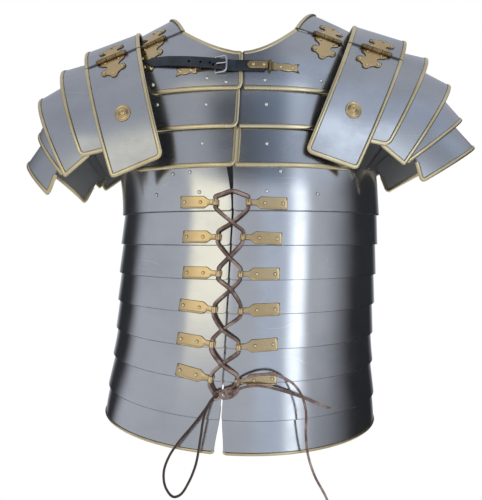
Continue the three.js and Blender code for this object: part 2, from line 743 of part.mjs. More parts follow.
// The thong goes up from side to side, over the top, and down again across itself.
function lacePoints(facing) {
  const half = (firstSide, lift) => {
    const points = [];
    for (let number = tieLoopHoops; number >= 1; number--) {
      const side = number % 2 === tieLoopHoops % 2 ? firstSide : -firstSide;
      points.push(ringPlace(number, side, facing));
      if (number === 1) break;
      const between = (hoopBottoms[number - 1] + hoopBottoms[number - 2]) / 2 + tieLoopRise;
      points.push(nearSeam(facing, 1, 0, between, lift));
    }
    return points;
  };
  const end = (side) => nearSeam(facing, side, 5, knotHeight + 8, ringLift + 2);
  const top = nearSeam(facing, 1, 0, hoopBottoms[0] + tieLoopRise + 15, ringLift);
  return [end(1), ...half(1, ringLift), top, ...half(-1, overLift).reverse(), end(-1)];
}

// The bow's paths start and end in the knot.
const knotPlace = new THREE.Vector3(-19, -157, knotHeight - 1);
const bowEar = [
  [-27, -157, -473.5], [-35, -158, -476.5], [-44, -159, -489], [-59, -155, -509.5],
  [-77, -148, -532.5], [-89, -143, -552], [-95, -141, -570.5], [-93, -141, -588],
  [-84, -143, -598.5], [-75, -145, -595.5], [-65, -148, -580], [-56, -151, -557],
  [-50, -155, -524], [-46, -158, -500], [-39, -158, -482.5], [-29, -157, -475.5],
];
const longEnd = [
  [-18, -158, -470], [-12, -160, -463], [-3, -162, -455.5], [9, -163, -450.5],
  [22, -164, -448], [36, -164, -448.5], [47, -163, -452.5], [57, -162, -459],
  [65, -161, -469], [70, -159, -480.5], [73, -155, -496], [73, -152, -521],
  [76, -150, -547], [84, -149, -571.5], [98, -147, -598.5], [106, -146, -624.5],
  [108, -146, -649.5],
];
const shortEnd = [
  [-12, -158, -471], [-3, -160, -465], [8, -160, -462.5], [19, -159, -462.5],
  [39, -157, -467], [54, -155, -472], [67, -153, -477], [85, -147, -485.5],
  [104, -139, -495],
];

function laceBow() {
  const knot = new THREE.SphereGeometry(1, 12, 8);
  knot.scale(14, 5.5, 5.5).translate(knotPlace.x, knotPlace.y, knotPlace.z);
  const asTube = (list, count) => tube(list.map((place) => new THREE.Vector3(...place)), count);
  return join(knot, asTube(bowEar, 30), asTube(longEnd, 30), asTube(shortEnd, 12));
}

addPiece("front_lacing", tube(lacePoints(-1), 60), brown);
addPiece("back_lacing", tube(lacePoints(1), 60), brown);
addPiece("lace_bow", laceBow(), brown);

export default armour;
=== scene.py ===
# %% [markdown]
# # Roman segmented plate armour
# The armour is built from strips of thin steel: a hinged collar with chest and back plates, two layered
# shoulder guards, and a girdle of eight hoops that is laced shut at the front and at the back.
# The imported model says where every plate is. This scene makes the fine plates, their brass edging, the
# rivets, hinges, laces and strap, and gives each one its finish. Sizes are in metres, +X is the wearer's
# left, -Y is the front and +Z is up.

# %% Load the frame
import math

import bmesh
import bpy
import numpy as np
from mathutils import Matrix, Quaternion, Vector


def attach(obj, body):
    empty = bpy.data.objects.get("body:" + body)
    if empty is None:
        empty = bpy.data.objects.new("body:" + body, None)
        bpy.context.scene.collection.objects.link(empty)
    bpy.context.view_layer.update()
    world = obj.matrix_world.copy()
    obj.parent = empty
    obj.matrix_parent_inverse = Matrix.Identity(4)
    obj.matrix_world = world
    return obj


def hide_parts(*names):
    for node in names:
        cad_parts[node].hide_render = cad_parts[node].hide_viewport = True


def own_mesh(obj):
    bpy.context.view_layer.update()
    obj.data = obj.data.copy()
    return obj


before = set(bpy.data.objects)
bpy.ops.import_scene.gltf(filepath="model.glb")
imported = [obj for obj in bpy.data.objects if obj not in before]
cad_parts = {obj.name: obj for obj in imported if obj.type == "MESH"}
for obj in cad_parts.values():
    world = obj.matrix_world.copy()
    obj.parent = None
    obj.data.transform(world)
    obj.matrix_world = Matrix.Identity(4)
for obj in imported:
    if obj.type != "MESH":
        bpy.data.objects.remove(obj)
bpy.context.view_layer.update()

# %% [markdown]
# ## Camera
# The picture was taken level with the wearer's stomach, from close by, so the hoops above the lens curve
# one way and those below it curve the other way. A level camera with a small vertical shift gives that
# view without leaning the upright lines.

# %% Camera
IMAGE_WIDTH = 482
IMAGE_HEIGHT = 500
FOCAL_PIXELS = 531.9
LEVEL_PIXEL = 237  # the picture row at the height of the lens
SENSOR = 36  # in millimetres
CAMERA_PLACE = (-0.0029, -0.775, -0.290)

camera_data = bpy.data.cameras.new("camera")
camera_data.sensor_fit = "HORIZONTAL"
camera_data.sensor_width = SENSOR
camera_data.lens = FOCAL_PIXELS / IMAGE_WIDTH * SENSOR
camera_data.shift_y = (LEVEL_PIXEL - IMAGE_HEIGHT / 2) / IMAGE_WIDTH
camera = bpy.data.objects.new("camera", camera_data)
camera.location = CAMERA_PLACE
camera.rotation_euler = (math.radians(90), 0, 0)
bpy.context.scene.collection.objects.link(camera)
bpy.context.scene.camera = camera
print("camera lens", round(camera_data.lens, 2), "mm")

# %% [markdown]
# ## Small helpers for meshes and node trees
# Every piece here ends as one plain mesh at the origin. `settle` turns whatever modifiers or geometry
# nodes made into such a mesh. A geometry node tree is built once with named inputs, and `run_tree` sets
# them by their socket's identifier.

# %% Mesh helpers
def new_object(name, mesh):
    made = bpy.data.objects.new(name, mesh)
    bpy.context.scene.collection.objects.link(made)
    return made


def mesh_of(name, points, faces=(), edges=()):
    mesh = bpy.data.meshes.new(name)
    places = [tuple(map(float, point)) for point in points]
    mesh.from_pydata(places, [tuple(edge) for edge in edges], [tuple(face) for face in faces])
    mesh.update()
    return mesh


def store(mesh, name, values, kind="FLOAT"):
    attribute = mesh.attributes.new(name, kind, "POINT")
    field = "vector" if kind == "FLOAT_VECTOR" else "value"
    attribute.data.foreach_set(field, np.asarray(values, np.float32).ravel())


def object_of(name, shape):
    """A new object from a bmesh, which is used up."""
    mesh = bpy.data.meshes.new(name)
    shape.to_mesh(mesh)
    shape.free()
    return new_object(name, mesh)


def row_edges(count):
    return [(i, i + 1) for i in range(count - 1)]


def settle(piece):
    """Makes the evaluated shape the piece's own mesh, and removes the modifiers that made it."""
    graph = bpy.context.evaluated_depsgraph_get()
    graph.update()
    made = bpy.data.meshes.new_from_object(piece.evaluated_get(graph))
    piece.modifiers.clear()
    piece.data = made
    return piece


def face_out(mesh):
    shape = bmesh.new()
    shape.from_mesh(mesh)
    bmesh.ops.remove_doubles(shape, verts=shape.verts, dist=1e-6)
    bmesh.ops.recalc_face_normals(shape, faces=shape.faces)
    shape.to_mesh(mesh)
    shape.free()


def finish_piece(piece, body, material=None, stands_for=(), crease=35):
    """Gives a finished mesh its material, says what it rides on, and hides the CAD nodes it stands for."""
    if material:
        piece.data.materials.clear()
        piece.data.materials.append(material)
    piece.data.shade_smooth()
    piece.data.set_sharp_from_angle(angle=math.radians(crease))
    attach(piece, body)
    if stands_for:
        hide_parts(*stands_for)
    return piece


# %% Geometry node helpers
def new_tree(name, inputs):
    """A geometry node tree with a geometry input and output and the named inputs (label, type, default)."""
    tree = bpy.data.node_groups.new(name, "GeometryNodeTree")
    tree.interface.new_socket("Geometry", in_out="INPUT", socket_type="NodeSocketGeometry")
    for label, kind, value in inputs:
        socket = tree.interface.new_socket(label, in_out="INPUT", socket_type="NodeSocket" + kind)
        if value is not None:
            socket.default_value = value
    tree.interface.new_socket("Geometry", in_out="OUTPUT", socket_type="NodeSocketGeometry")
    return tree


def add_node(tree, kind, inputs=None, **settings):
    """Adds a node, sets its properties, and sets or links its inputs by name."""
    node = tree.nodes.new(kind)
    for key, value in settings.items():
        setattr(node, key, value)
    for key, value in (inputs or {}).items():
        socket = node.inputs[key]
        if isinstance(value, bpy.types.NodeSocket):
            tree.links.new(value, socket)
        else:
            socket.default_value = value
    return node


def math_node(tree, operation, first, second=0.0, clamp=False):
    node = tree.nodes.new("ShaderNodeMath")
    node.operation = operation
    node.use_clamp = clamp
    for socket, value in zip(node.inputs, (first, second)):
        if isinstance(value, bpy.types.NodeSocket):
            tree.links.new(value, socket)
        else:
            socket.default_value = value
    return node.outputs[0]


def run_tree(tree, name, source, **values):
    carrier = new_object(name, source)
    modifier = carrier.modifiers.new("tree", "NODES")
    modifier.node_group = tree
    for item in tree.interface.items_tree:
        if item.in_out == "INPUT" and item.name in values:
            modifier[item.identifier] = values[item.name]
    return settle(carrier)


def named_value(tree, name, kind):
    node = add_node(tree, "GeometryNodeInputNamedAttribute", {"Name": name}, data_type=kind)
    return node.outputs["Attribute"]


def end_tree(tree, geometry, material):
    """Every tree ends with real geometry that carries its material."""
    real = add_node(tree, "GeometryNodeRealizeInstances", {"Geometry": geometry}).outputs["Geometry"]
    painted = add_node(tree, "GeometryNodeSetMaterial", {"Geometry": real, "Material": material})
    end = add_node(tree, "NodeGroupOutput")
    tree.links.new(painted.outputs["Geometry"], end.inputs["Geometry"])
    return tree


# %% [markdown]
# ## A thong along a path
# The bow's ear and ends are a leather thong, 3 mm thick. Geometry nodes turn a row of points into a curve
# and sweep a round section along it, with closed ends. The lacing, further on, is pulled flat.

# %% The thong's tree
THONG_RADIUS = 0.0015
THONG_SIDES = 12


def thong_tree():
    """A round section along a row of points. rim is the distance across the section from one side, and the
    finish paints that side darker as shade.
    """
    tree = new_tree("thong", [("Radius", "Float", THONG_RADIUS), ("Material", "Material", None)])
    start = add_node(tree, "NodeGroupInput")
    curve = add_node(tree, "GeometryNodeMeshToCurve", {"Mesh": start.outputs["Geometry"]})
    section = add_node(
        tree,
        "GeometryNodeCurvePrimitiveCircle",
        {"Resolution": THONG_SIDES, "Radius": start.outputs["Radius"]},
    )
    place = add_node(tree, "GeometryNodeInputPosition").outputs["Position"]
    across = add_node(tree, "ShaderNodeSeparateXYZ", {"Vector": place})
    edge = math_node(tree, "ADD", across.outputs["X"], start.outputs["Radius"])
    section = add_node(
        tree,
        "GeometryNodeStoreNamedAttribute",
        {"Geometry": section.outputs["Curve"], "Name": "rim", "Value": edge},
        data_type="FLOAT",
    )
    swept = add_node(
        tree,
        "GeometryNodeCurveToMesh",
        {"Curve": curve.outputs["Curve"], "Profile Curve": section.outputs["Geometry"], "Fill Caps": True},
    )
    return end_tree(tree, swept.outputs["Mesh"], start.outputs["Material"])


THONG = thong_tree()


def curve_through(places, per_span=10):
    """A centripetal Catmull-Rom curve through the places, as a dense row of points."""
    p = np.array(places, float)
    p = np.vstack([2 * p[0] - p[1], p, 2 * p[-1] - p[-2]])
    rows = []
    for a, b, c, d in zip(p, p[1:], p[2:], p[3:]):
        t0 = 0
        t1 = t0 + math.sqrt(np.linalg.norm(b - a))
        t2 = t1 + math.sqrt(np.linalg.norm(c - b))
        t3 = t2 + math.sqrt(np.linalg.norm(d - c))
        for t in np.linspace(t1, t2, per_span, endpoint=False):
            ab = a + (b - a) * (t - t0) / (t1 - t0)
            bc = b + (c - b) * (t - t1) / (t2 - t1)
            cd = c + (d - c) * (t - t2) / (t3 - t2)
            abc = ab + (bc - ab) * (t - t0) / (t2 - t0)
            bcd = bc + (cd - bc) * (t - t1) / (t3 - t1)
            rows.append(abc + (bcd - abc) * (t - t1) / (t2 - t1))
    rows.append(p[-2])
    return np.array(rows)


def thong(name, path, material):
    line = mesh_of(name, path, edges=row_edges(len(path)))
    made = run_tree(THONG, name, line, Radius=THONG_RADIUS, Material=material)
    face_out(made.data)
    return made


def path_length(path):
    return float(np.linalg.norm(np.diff(path, axis=0), axis=1).sum())

# %% [markdown]
# ## Finishes
# Steel is never one flat colour: it has fine lines from polishing, stray scratches, faint smudges, and a
# little dirt and painted shade where a plate meets its edging. Those effects are shader node groups, built
# once, with their sizes as inputs. Each material holds its own Principled shader and takes masks and heights
# from them.

# %% Shader helpers
def new_group(name, inputs, outputs):
    group = bpy.data.node_groups.new(name, "ShaderNodeTree")
    for label, value in inputs:
        socket = group.interface.new_socket(label, in_out="INPUT", socket_type="NodeSocketFloat")
        socket.default_value = value
    for label in outputs:
        group.interface.new_socket(label, in_out="OUTPUT", socket_type="NodeSocketFloat")
    return group


def stretched(tree, scale, turn=(0, 0, 0)):
    """Object coordinates, stretched and turned, for a pattern that runs one way."""
    place = add_node(tree, "ShaderNodeTexCoord")
    mapping = add_node(tree, "ShaderNodeMapping", {"Vector": place.outputs["Object"]})
    mapping.inputs["Scale"].default_value = scale
    mapping.inputs["Rotation"].default_value = turn
    return mapping.outputs["Vector"]


def noise(tree, vector, scale, detail=2.0, roughness=0.5):
    settings = {"Vector": vector, "Scale": scale, "Detail": detail, "Roughness": roughness}
    return add_node(tree, "ShaderNodeTexNoise", settings).outputs["Fac"]


def ramp(tree, value, low, high):
    """Zero below low, one above high, and smooth between them."""
    settings = {"Value": value, "From Min": low, "From Max": high}
    node = add_node(tree, "ShaderNodeMapRange", settings, interpolation_type="SMOOTHSTEP")
    return node.outputs["Result"]


# %% Group: the lines and marks of polished sheet metal
def metal_marks_group():
    group = new_group("metal_marks", [("Scratches", 0.5)], ["Grain", "Scratch", "Smudge"])
    start = add_node(group, "NodeGroupInput")
    grain = noise(group, stretched(group, (30, 30, 900)), 1.0, 3.0)
    marks = []
    for turn, threshold in (((0.3, 0.5, 0.2), 0.0035), ((1.2, -0.7, 0.9), 0.0025), ((0.1, 1.1, -0.6), 0.003)):
        lines = noise(group, stretched(group, (9, 9, 45), turn), 1.0, 0.0)
        near = math_node(group, "ABSOLUTE", math_node(group, "SUBTRACT", lines, 0.5))
        line = math_node(group, "SUBTRACT", 1.0, ramp(group, near, 0.0, threshold))
        patch = ramp(group, noise(group, stretched(group, (14, 14, 14), turn), 1.0), 0.55, 0.68)
        marks.append(math_node(group, "MULTIPLY", line, patch))
    both = math_node(group, "MAXIMUM", math_node(group, "MAXIMUM", marks[0], marks[1]), marks[2])
    smudge = ramp(group, noise(group, stretched(group, (11, 11, 16)), 1.0, 4.0, 0.6), 0.35, 0.7)
    end = add_node(group, "NodeGroupOutput")
    group.links.new(grain, end.inputs["Grain"])
    scratch = math_node(group, "MULTIPLY", both, start.outputs["Scratches"])
    group.links.new(scratch, end.inputs["Scratch"])
    group.links.new(smudge, end.inputs["Smudge"])
    return group


# %% Group: dirt and painted shade by the distance from a plate's rim
def rim_group():
    group = new_group("rim_wear", [("Dirt reach", 0.003)], ["Dirt"])
    start = add_node(group, "NodeGroupInput")
    rim = add_node(group, "ShaderNodeAttribute", attribute_name="rim").outputs["Fac"]
    uneven = noise(group, stretched(group, (90, 90, 90)), 1.0, 3.0)
    distance = math_node(group, "DIVIDE", rim, start.outputs["Dirt reach"])
    reach = math_node(group, "ADD", distance, math_node(group, "MULTIPLY", uneven, 0.6))
    # Darker near the rim: dirt, and painted shade, a shadow line along edges and seams and round the foot of
    # rivet heads.
    dirt_and_shade = math_node(group, "SUBTRACT", 1.0, ramp(group, reach, 0.3, 1.1))
    end = add_node(group, "NodeGroupOutput")
    group.links.new(dirt_and_shade, end.inputs["Dirt"])
    return group


# %% Group: the grain and creases of leather
def leather_group():
    group = new_group("leather_grain", [("Pore size", 700.0)], ["Height", "Tone"])
    start = add_node(group, "NodeGroupInput")
    place = stretched(group, (1, 1, 1))
    pores = add_node(group, "ShaderNodeTexVoronoi", {"Vector": place, "Scale": start.outputs["Pore size"]})
    creases = noise(group, place, 160.0, 4.0, 0.6)
    tone = noise(group, place, 60.0, 4.0, 0.6)
    height = math_node(group, "ADD", math_node(group, "MULTIPLY", pores.outputs["Distance"], 0.5), creases)
    end = add_node(group, "NodeGroupOutput")
    group.links.new(height, end.inputs["Height"])
    group.links.new(tone, end.inputs["Tone"])
    return group


METAL_MARKS = metal_marks_group()
RIM_DIRT_AND_SHADE = rim_group()
LEATHER_GRAIN = leather_group()


def use_group(tree, group, **values):
    node = tree.nodes.new("ShaderNodeGroup")
    node.node_tree = group
    for label, value in values.items():
        node.inputs[label.replace("_", " ")].default_value = value
    return node


def between(tree, amount, first, second):
    """A colour between two colours, by a mask."""
    node = tree.nodes.new("ShaderNodeMix")
    node.data_type = "RGBA"
    tree.links.new(amount, node.inputs["Factor"])
    for socket, value in ((node.inputs[6], first), (node.inputs[7], second)):
        if isinstance(value, bpy.types.NodeSocket):
            tree.links.new(value, socket)
        else:
            socket.default_value = (*value, 1)
    return node.outputs[2]


def new_material(name, metallic, **constants):
    material = bpy.data.materials.new(name)
    material.use_nodes = True
    tree = material.node_tree
    shader = tree.nodes["Principled BSDF"]
    shader.inputs["Metallic"].default_value = metallic
    for label, value in constants.items():
        shader.inputs[label.replace("_", " ")].default_value = value
    return material, tree, shader


def add_bump(tree, shader, height, distance, strength=1.0):
    settings = {"Height": height, "Distance": distance, "Strength": strength}
    bump = add_node(tree, "ShaderNodeBump", settings)
    tree.links.new(bump.outputs["Normal"], shader.inputs["Normal"])


# %% Sheet metal finishes
UNPOLISHED = (0.33, 0.325, 0.32)  # the plates are left duller inside


def sheet_metal(name, colour, smudged, roughness, scratches, dirt_and_shade_colour, dirt_and_shade_reach, grain=0.00002):
    """roughness is the pair for clean and smudged metal. Near the rim the metal darkens towards the dark
    colour, as dirt and painted shade, as far in as the reach given after it.
    """
    material, tree, shader = new_material(name, 1.0)
    marks = use_group(tree, METAL_MARKS, Scratches=scratches)
    inside = add_node(tree, "ShaderNodeAttribute", attribute_name="inside").outputs["Fac"]
    rim = use_group(tree, RIM_DIRT_AND_SHADE, Dirt_reach=dirt_and_shade_reach)
    base = between(tree, marks.outputs["Smudge"], colour, smudged)
    # The rim mask paints shade as well as dirt.
    dirt_and_shade = math_node(tree, "MULTIPLY", rim.outputs["Dirt"], 0.85)
    base = between(tree, dirt_and_shade, base, dirt_and_shade_colour)
    base = between(tree, marks.outputs["Scratch"], base, (0.9, 0.9, 0.9))
    tree.links.new(between(tree, inside, base, UNPOLISHED), shader.inputs["Base Color"])
    low, high = roughness
    rough = math_node(tree, "MULTIPLY_ADD", marks.outputs["Smudge"], high - low)
    rough.node.inputs[2].default_value = low
    grime = math_node(tree, "MULTIPLY", rim.outputs["Dirt"], 0.12)
    rough = math_node(tree, "ADD", rough, grime)
    unpolished = math_node(tree, "MULTIPLY", inside, 0.35)
    tree.links.new(math_node(tree, "ADD", rough, unpolished, clamp=True), shader.inputs["Roughness"])
    height = math_node(tree, "SUBTRACT", marks.outputs["Grain"], marks.outputs["Scratch"])
    add_bump(tree, shader, height, grain)
    return material


# The dark colour and reach of each finish paint a shadow line along edges, seams and the edging's inner lip,
# as well as dirt.
SATIN_STEEL = sheet_metal(
    "satin_steel", (0.52, 0.545, 0.585), (0.46, 0.48, 0.52), (0.22, 0.33), 0.25, (0.06, 0.05, 0.045), 0.0058,
    grain=0.00003,
)
POLISHED_STEEL = sheet_metal(
    "polished_steel", (0.71, 0.72, 0.735), (0.62, 0.635, 0.66), (0.12, 0.22), 0.8, (0.12, 0.12, 0.12), 0.0016,
    grain=0.000012,
)
EDGE_BRASS = sheet_metal(
    "edging_brass", (0.86, 0.75, 0.49), (0.72, 0.59, 0.35), (0.24, 0.38), 0.3, (0.06, 0.035, 0.015), 0.0019
)
FITTING_BRASS = sheet_metal(
    "fitting_brass", (0.76, 0.58, 0.32), (0.64, 0.46, 0.23), (0.22, 0.36), 0.3, (0.07, 0.04, 0.016), 0.0012
)
# The rivets' near-white colour paints a highlight on their tops, and their dark colour paints shade towards
# their foot.
RIVET_METAL = sheet_metal(
    "rivet_metal", (0.98, 0.96, 0.90), (0.88, 0.86, 0.80), (0.12, 0.2), 0.1, (0.05, 0.045, 0.04), 0.0021
)
RIVET_BRASS = sheet_metal(
    "rivet_brass", (1.0, 0.86, 0.55), (0.90, 0.70, 0.38), (0.12, 0.2), 0.1, (0.075, 0.035, 0.012), 0.0022
)
SILVER = sheet_metal(
    "silver", (0.82, 0.82, 0.82), (0.66, 0.66, 0.67), (0.10, 0.22), 0.3, (0.2, 0.2, 0.2), 0.0001
)


# %% Leather finishes
def leather(name, colour, worn, roughness, pore_size, dark_edge=0.0008):
    """The last argument is how far the darker edge reaches: on a thong it paints shade down one side, and on
    a strap it is the cut edge.
    """
    material, tree, shader = new_material(name, 0.0)
    grain = use_group(tree, LEATHER_GRAIN, Pore_size=pore_size)
    tone = ramp(tree, grain.outputs["Tone"], 0.38, 0.66)
    rim = add_node(tree, "ShaderNodeAttribute", attribute_name="rim").outputs["Fac"]
    # Darker towards the rim: painted shade down one side of a thong, and the darker cut edge of a strap.
    edge = math_node(tree, "SUBTRACT", 1.0, ramp(tree, rim, dark_edge * 0.4, dark_edge))
    dark = tuple(part * 0.35 for part in colour)
    face = between(tree, tone, colour, worn)
    tree.links.new(between(tree, edge, face, dark), shader.inputs["Base Color"])
    rough = math_node(tree, "MULTIPLY_ADD", tone, 0.15)
    rough.node.inputs[2].default_value = roughness
    tree.links.new(rough, shader.inputs["Roughness"])
    add_bump(tree, shader, grain.outputs["Height"], 0.0002, 0.6)
    return material


BLACK_LEATHER = leather("black_leather", (0.018, 0.023, 0.034), (0.035, 0.042, 0.058), 0.38, 900.0)
# The brown thong's dark edge reaches over about half of a round thong, as painted shade on one side.
BROWN_LEATHER = leather("brown_leather", (0.20, 0.115, 0.085), (0.55, 0.40, 0.34), 0.5, 1200.0, 0.0016)
STRAP_LEATHER = leather("inner_strap_leather", (0.16, 0.085, 0.045), (0.26, 0.15, 0.08), 0.6, 700.0)
print("finishes:", ", ".join(m.name for m in bpy.data.materials))

# %% [markdown]
# ## The bow
# The lacing ends in a bow with one ear and two loose ends that hang over the hoops. They are limp leather
# and lie against the steel, so each follows a row of points chosen on the girdle's front. They come first,
# because their lengths are real ones and have to be right before anything else is dressed.

# %% Routes of the bow, in metres
EAR_ROUTE = [
    (-0.027, -0.157, -0.4735),
    (-0.035, -0.158, -0.4765),
    (-0.044, -0.159, -0.489),
    (-0.059, -0.155, -0.5095),
    (-0.077, -0.148, -0.5325),
    (-0.089, -0.143, -0.552),
    (-0.095, -0.141, -0.5705),
    (-0.093, -0.141, -0.588),
    (-0.084, -0.143, -0.5985),
    (-0.075, -0.145, -0.5955),
    (-0.065, -0.148, -0.580),
    (-0.056, -0.151, -0.557),
    (-0.050, -0.155, -0.524),
    (-0.046, -0.158, -0.500),
    (-0.039, -0.158, -0.4825),
    (-0.029, -0.157, -0.4755),
]
LONG_END_ROUTE = [
    (-0.018, -0.158, -0.470),
    (-0.012, -0.160, -0.463),
    (-0.003, -0.162, -0.4555),
    (0.009, -0.163, -0.4505),
    (0.022, -0.164, -0.448),
    (0.036, -0.164, -0.4485),
    (0.047, -0.163, -0.4525),
    (0.057, -0.162, -0.459),
    (0.065, -0.161, -0.469),
    (0.070, -0.159, -0.4805),
    (0.073, -0.155, -0.496),
    (0.073, -0.152, -0.521),
    (0.076, -0.150, -0.547),
    (0.084, -0.149, -0.5715),
    (0.098, -0.147, -0.5985),
    (0.106, -0.146, -0.6245),
    (0.108, -0.146, -0.6495),
]
SHORT_END_ROUTE = [
    (-0.012, -0.158, -0.471),
    (-0.003, -0.160, -0.465),
    (0.008, -0.160, -0.4625),
    (0.019, -0.159, -0.4625),
    (0.039, -0.157, -0.467),
    (0.054, -0.155, -0.472),
    (0.067, -0.153, -0.477),
    (0.085, -0.147, -0.4855),
    (0.104, -0.139, -0.495),
]


def bow_piece(name, route):
    path = curve_through(route)
    piece = thong(name, path, BROWN_LEATHER)
    finish_piece(piece, "girdle_6", stands_for=["lace_bow"], crease=60)
    print(name, round(path_length(path), 3), "m")


bow_piece("bow_ear", EAR_ROUTE)
bow_piece("bow_long_end", LONG_END_ROUTE)
bow_piece("bow_short_end", SHORT_END_ROUTE)

# %% [markdown]
# ## The form of the armour
# Real plates are hammered over a form, so all of them share a few curves. Here the girdle is an oval that
# leans and flares a little, and the chest and shoulders are one dome over it. Each surface is a function
# from two numbers to a place, so a plate is only a patch of one of them. numpy works on whole grids.

# %% Girdle form
HALF_WIDTH = 0.183
HALF_DEPTH = 0.150
CHEST_HALF_DEPTH = 0.133
COLLAR_HALF_WIDTH = 0.190
SPRING_LINE = -0.110  # where the shoulders start to close over
WAIST_TOP = -0.260
RIM_HEIGHT = -0.547
CHEST_RUN = 0.150  # the height over which waist turns into chest
CHEST_GROWTH = 0.007
RIM_FLARE = 0.008
FLARE_TOP = -0.422
WAIST_SHIFT = 0.011  # the waist's middle is this far to the wearer's left
WAIST_LEAN = 0.055
SIDE_RISE = 0.007
RIM_TILT = 0.03
SHOULDER_TILT = 0.035  # the wearer's left shoulder is held higher
TILT_RUN = 0.090  # the height over which the chest takes up this tilt
SHOULDER_X = 0.1015
SHOULDER_HEIGHT = 0.019
SHOULDER_SLOPE = 0.42
SIDES = {"left": 1, "right": -1}
FACINGS = {"front": -1, "back": 1}
SEAM_ANGLE = math.asin(-0.024 / HALF_WIDTH)
STEEL = 0.0012


def mix(a, b, t):
    return a + (b - a) * t


def smooth(t):
    t = np.clip(t, 0, 1)
    return t * t * (3 - 2 * t)


def middle_x(z):
    leaning = WAIST_SHIFT + WAIST_LEAN * (z - WAIST_TOP)
    return np.where(z > WAIST_TOP, WAIST_SHIFT * smooth((SPRING_LINE - z) / CHEST_RUN), leaning)


def width_at(z):
    wider_chest = CHEST_GROWTH * smooth((z - WAIST_TOP) / CHEST_RUN)
    return HALF_WIDTH + wider_chest + RIM_FLARE * smooth((FLARE_TOP - z) / (FLARE_TOP - RIM_HEIGHT))


def depth_at(z):
    return mix(HALF_DEPTH, CHEST_HALF_DEPTH, smooth((z - WAIST_TOP) / CHEST_RUN))


def girdle_point(angle, z, off):
    """The hoops lean and dip at the sides, more so towards the rim."""
    across = (width_at(z) + off) * np.cos(angle)
    share = smooth((WAIST_TOP - z) / (WAIST_TOP - RIM_HEIGHT))
    lift = share * (SIDE_RISE * np.cos(angle) ** 2 - RIM_TILT * across)
    return np.stack([middle_x(z) + across, (depth_at(z) + off) * np.sin(angle), z + lift], -1)


# %% Chest and shoulder form
def shoulder_top(x):
    return SHOULDER_HEIGHT - (np.abs(x) - SHOULDER_X) * SHOULDER_SLOPE


def collar_depth(x):
    return CHEST_HALF_DEPTH * np.sqrt(1 - (x / COLLAR_HALF_WIDTH) ** 2)


def tilt_at(x, z):
    return SHOULDER_TILT * x * smooth((z - SPRING_LINE) / TILT_RUN)


def torso_depth(x, z, off):
    below = 1 - ((x - middle_x(z)) / (width_at(z) + off)) ** 2
    above = 1 - ((z - SPRING_LINE) / (shoulder_top(x) - SPRING_LINE + off)) ** 2
    low = (depth_at(z) + off) * np.sqrt(np.maximum(below, 0))
    high = (collar_depth(x) + off) * np.sqrt(np.maximum(above, 0))
    return np.where(z <= SPRING_LINE, low, high)


def torso_point(x, z, off, facing):
    x, z = np.broadcast_arrays(x, z)
    return np.stack([x, facing * torso_depth(x, z, off), z + tilt_at(x, z)], -1)


def over_shoulder(x, turn, off):
    z = SPRING_LINE + (shoulder_top(x) - SPRING_LINE + off) * np.sin(turn)
    return np.stack([x, -(collar_depth(x) + off) * np.cos(turn), z + tilt_at(x, z)], -1)


def corner_cut(distance, radius):
    """How far a plate's edge is drawn in near a rounded corner."""
    inside = np.clip(radius - distance, 0, radius)
    return radius - np.sqrt(radius**2 - inside**2)


# %% Plate helpers
def wavy(grid, size, seed):
    """A slow, small unevenness, as hand-worked sheet has. It is a sum of a few sine waves."""
    random = np.random.default_rng(seed)
    total = np.zeros(grid.shape[:-1])
    for _ in range(5):
        turn = random.uniform(18, 60, 3) * random.choice([-1, 1], 3)
        total += np.sin(grid @ turn + random.uniform(0, 6.28))
    return total * size / 5


def edge_distance(grid):
    """Distance of every grid point from the nearest border of its own grid."""
    rows = np.linalg.norm(np.diff(grid, axis=0), axis=2)
    columns = np.linalg.norm(np.diff(grid, axis=1), axis=2)
    down = np.vstack([np.zeros(grid.shape[1]), np.cumsum(rows, axis=0)])
    along = np.hstack([np.zeros((grid.shape[0], 1)), np.cumsum(columns, axis=1)])
    return np.minimum.reduce([down, down[-1] - down, along, along[:, -1:] - along])


def grid_faces(shape):
    index = np.arange(shape[0] * shape[1]).reshape(shape)
    return np.stack([index[:-1, :-1], index[:-1, 1:], index[1:, 1:], index[1:, :-1]], -1).reshape(-1, 4)


def shell_mesh(name, surface, rows, columns, thickness=STEEL):
    """surface(u, v, off) gives places, where off is the distance out from the plate's outer face."""
    u, v = np.meshgrid(columns, rows)
    outer = surface(u, v, 0.0)
    inner = surface(u, v, -thickness)
    count = u.size
    index = np.arange(count).reshape(u.shape)
    quads = grid_faces(u.shape)
    ring = np.concatenate([index[0, :-1], index[:-1, -1], index[-1, :0:-1], index[:0:-1, 0]])
    after = np.roll(ring, -1)
    walls = np.stack([ring, after, after + count, ring + count], -1)
    faces = np.concatenate([quads, quads[:, ::-1] + count, walls])
    mesh = mesh_of(name, np.concatenate([outer.reshape(-1, 3), inner.reshape(-1, 3)]), faces)
    # rim is the distance from the border: on steel the finish paints a shadow line along it, on leather a
    # darker cut edge.
    store(mesh, "rim", np.tile(edge_distance(outer).ravel(), 2))
    store(mesh, "inside", np.repeat([0.0, 1.0], count))
    shape = bmesh.new()
    shape.from_mesh(mesh)
    bmesh.ops.recalc_face_normals(shape, faces=shape.faces)
    shape.to_mesh(mesh)
    shape.free()
    return mesh


def soften(piece, width, angle=40):
    bevel = piece.modifiers.new("softened edge", "BEVEL")
    bevel.width = width
    bevel.segments = 2
    bevel.limit_method = "ANGLE"
    bevel.angle_limit = math.radians(angle)
    bevel.harden_normals = True
    return settle(piece)


def plate(name, surface, rows, columns, body, material, node, bevel=0.00025):
    piece = new_object(name, shell_mesh(name, surface, rows, columns))
    piece.data.shade_smooth()
    soften(piece, bevel)
    return finish_piece(piece, body, material, [node])


def steps(start, end, count):
    return np.linspace(start, end, count)


seam_degrees = round(math.degrees(SEAM_ANGLE), 1)
print("form: girdle half width", HALF_WIDTH, "m, front seam at", seam_degrees, "degrees")

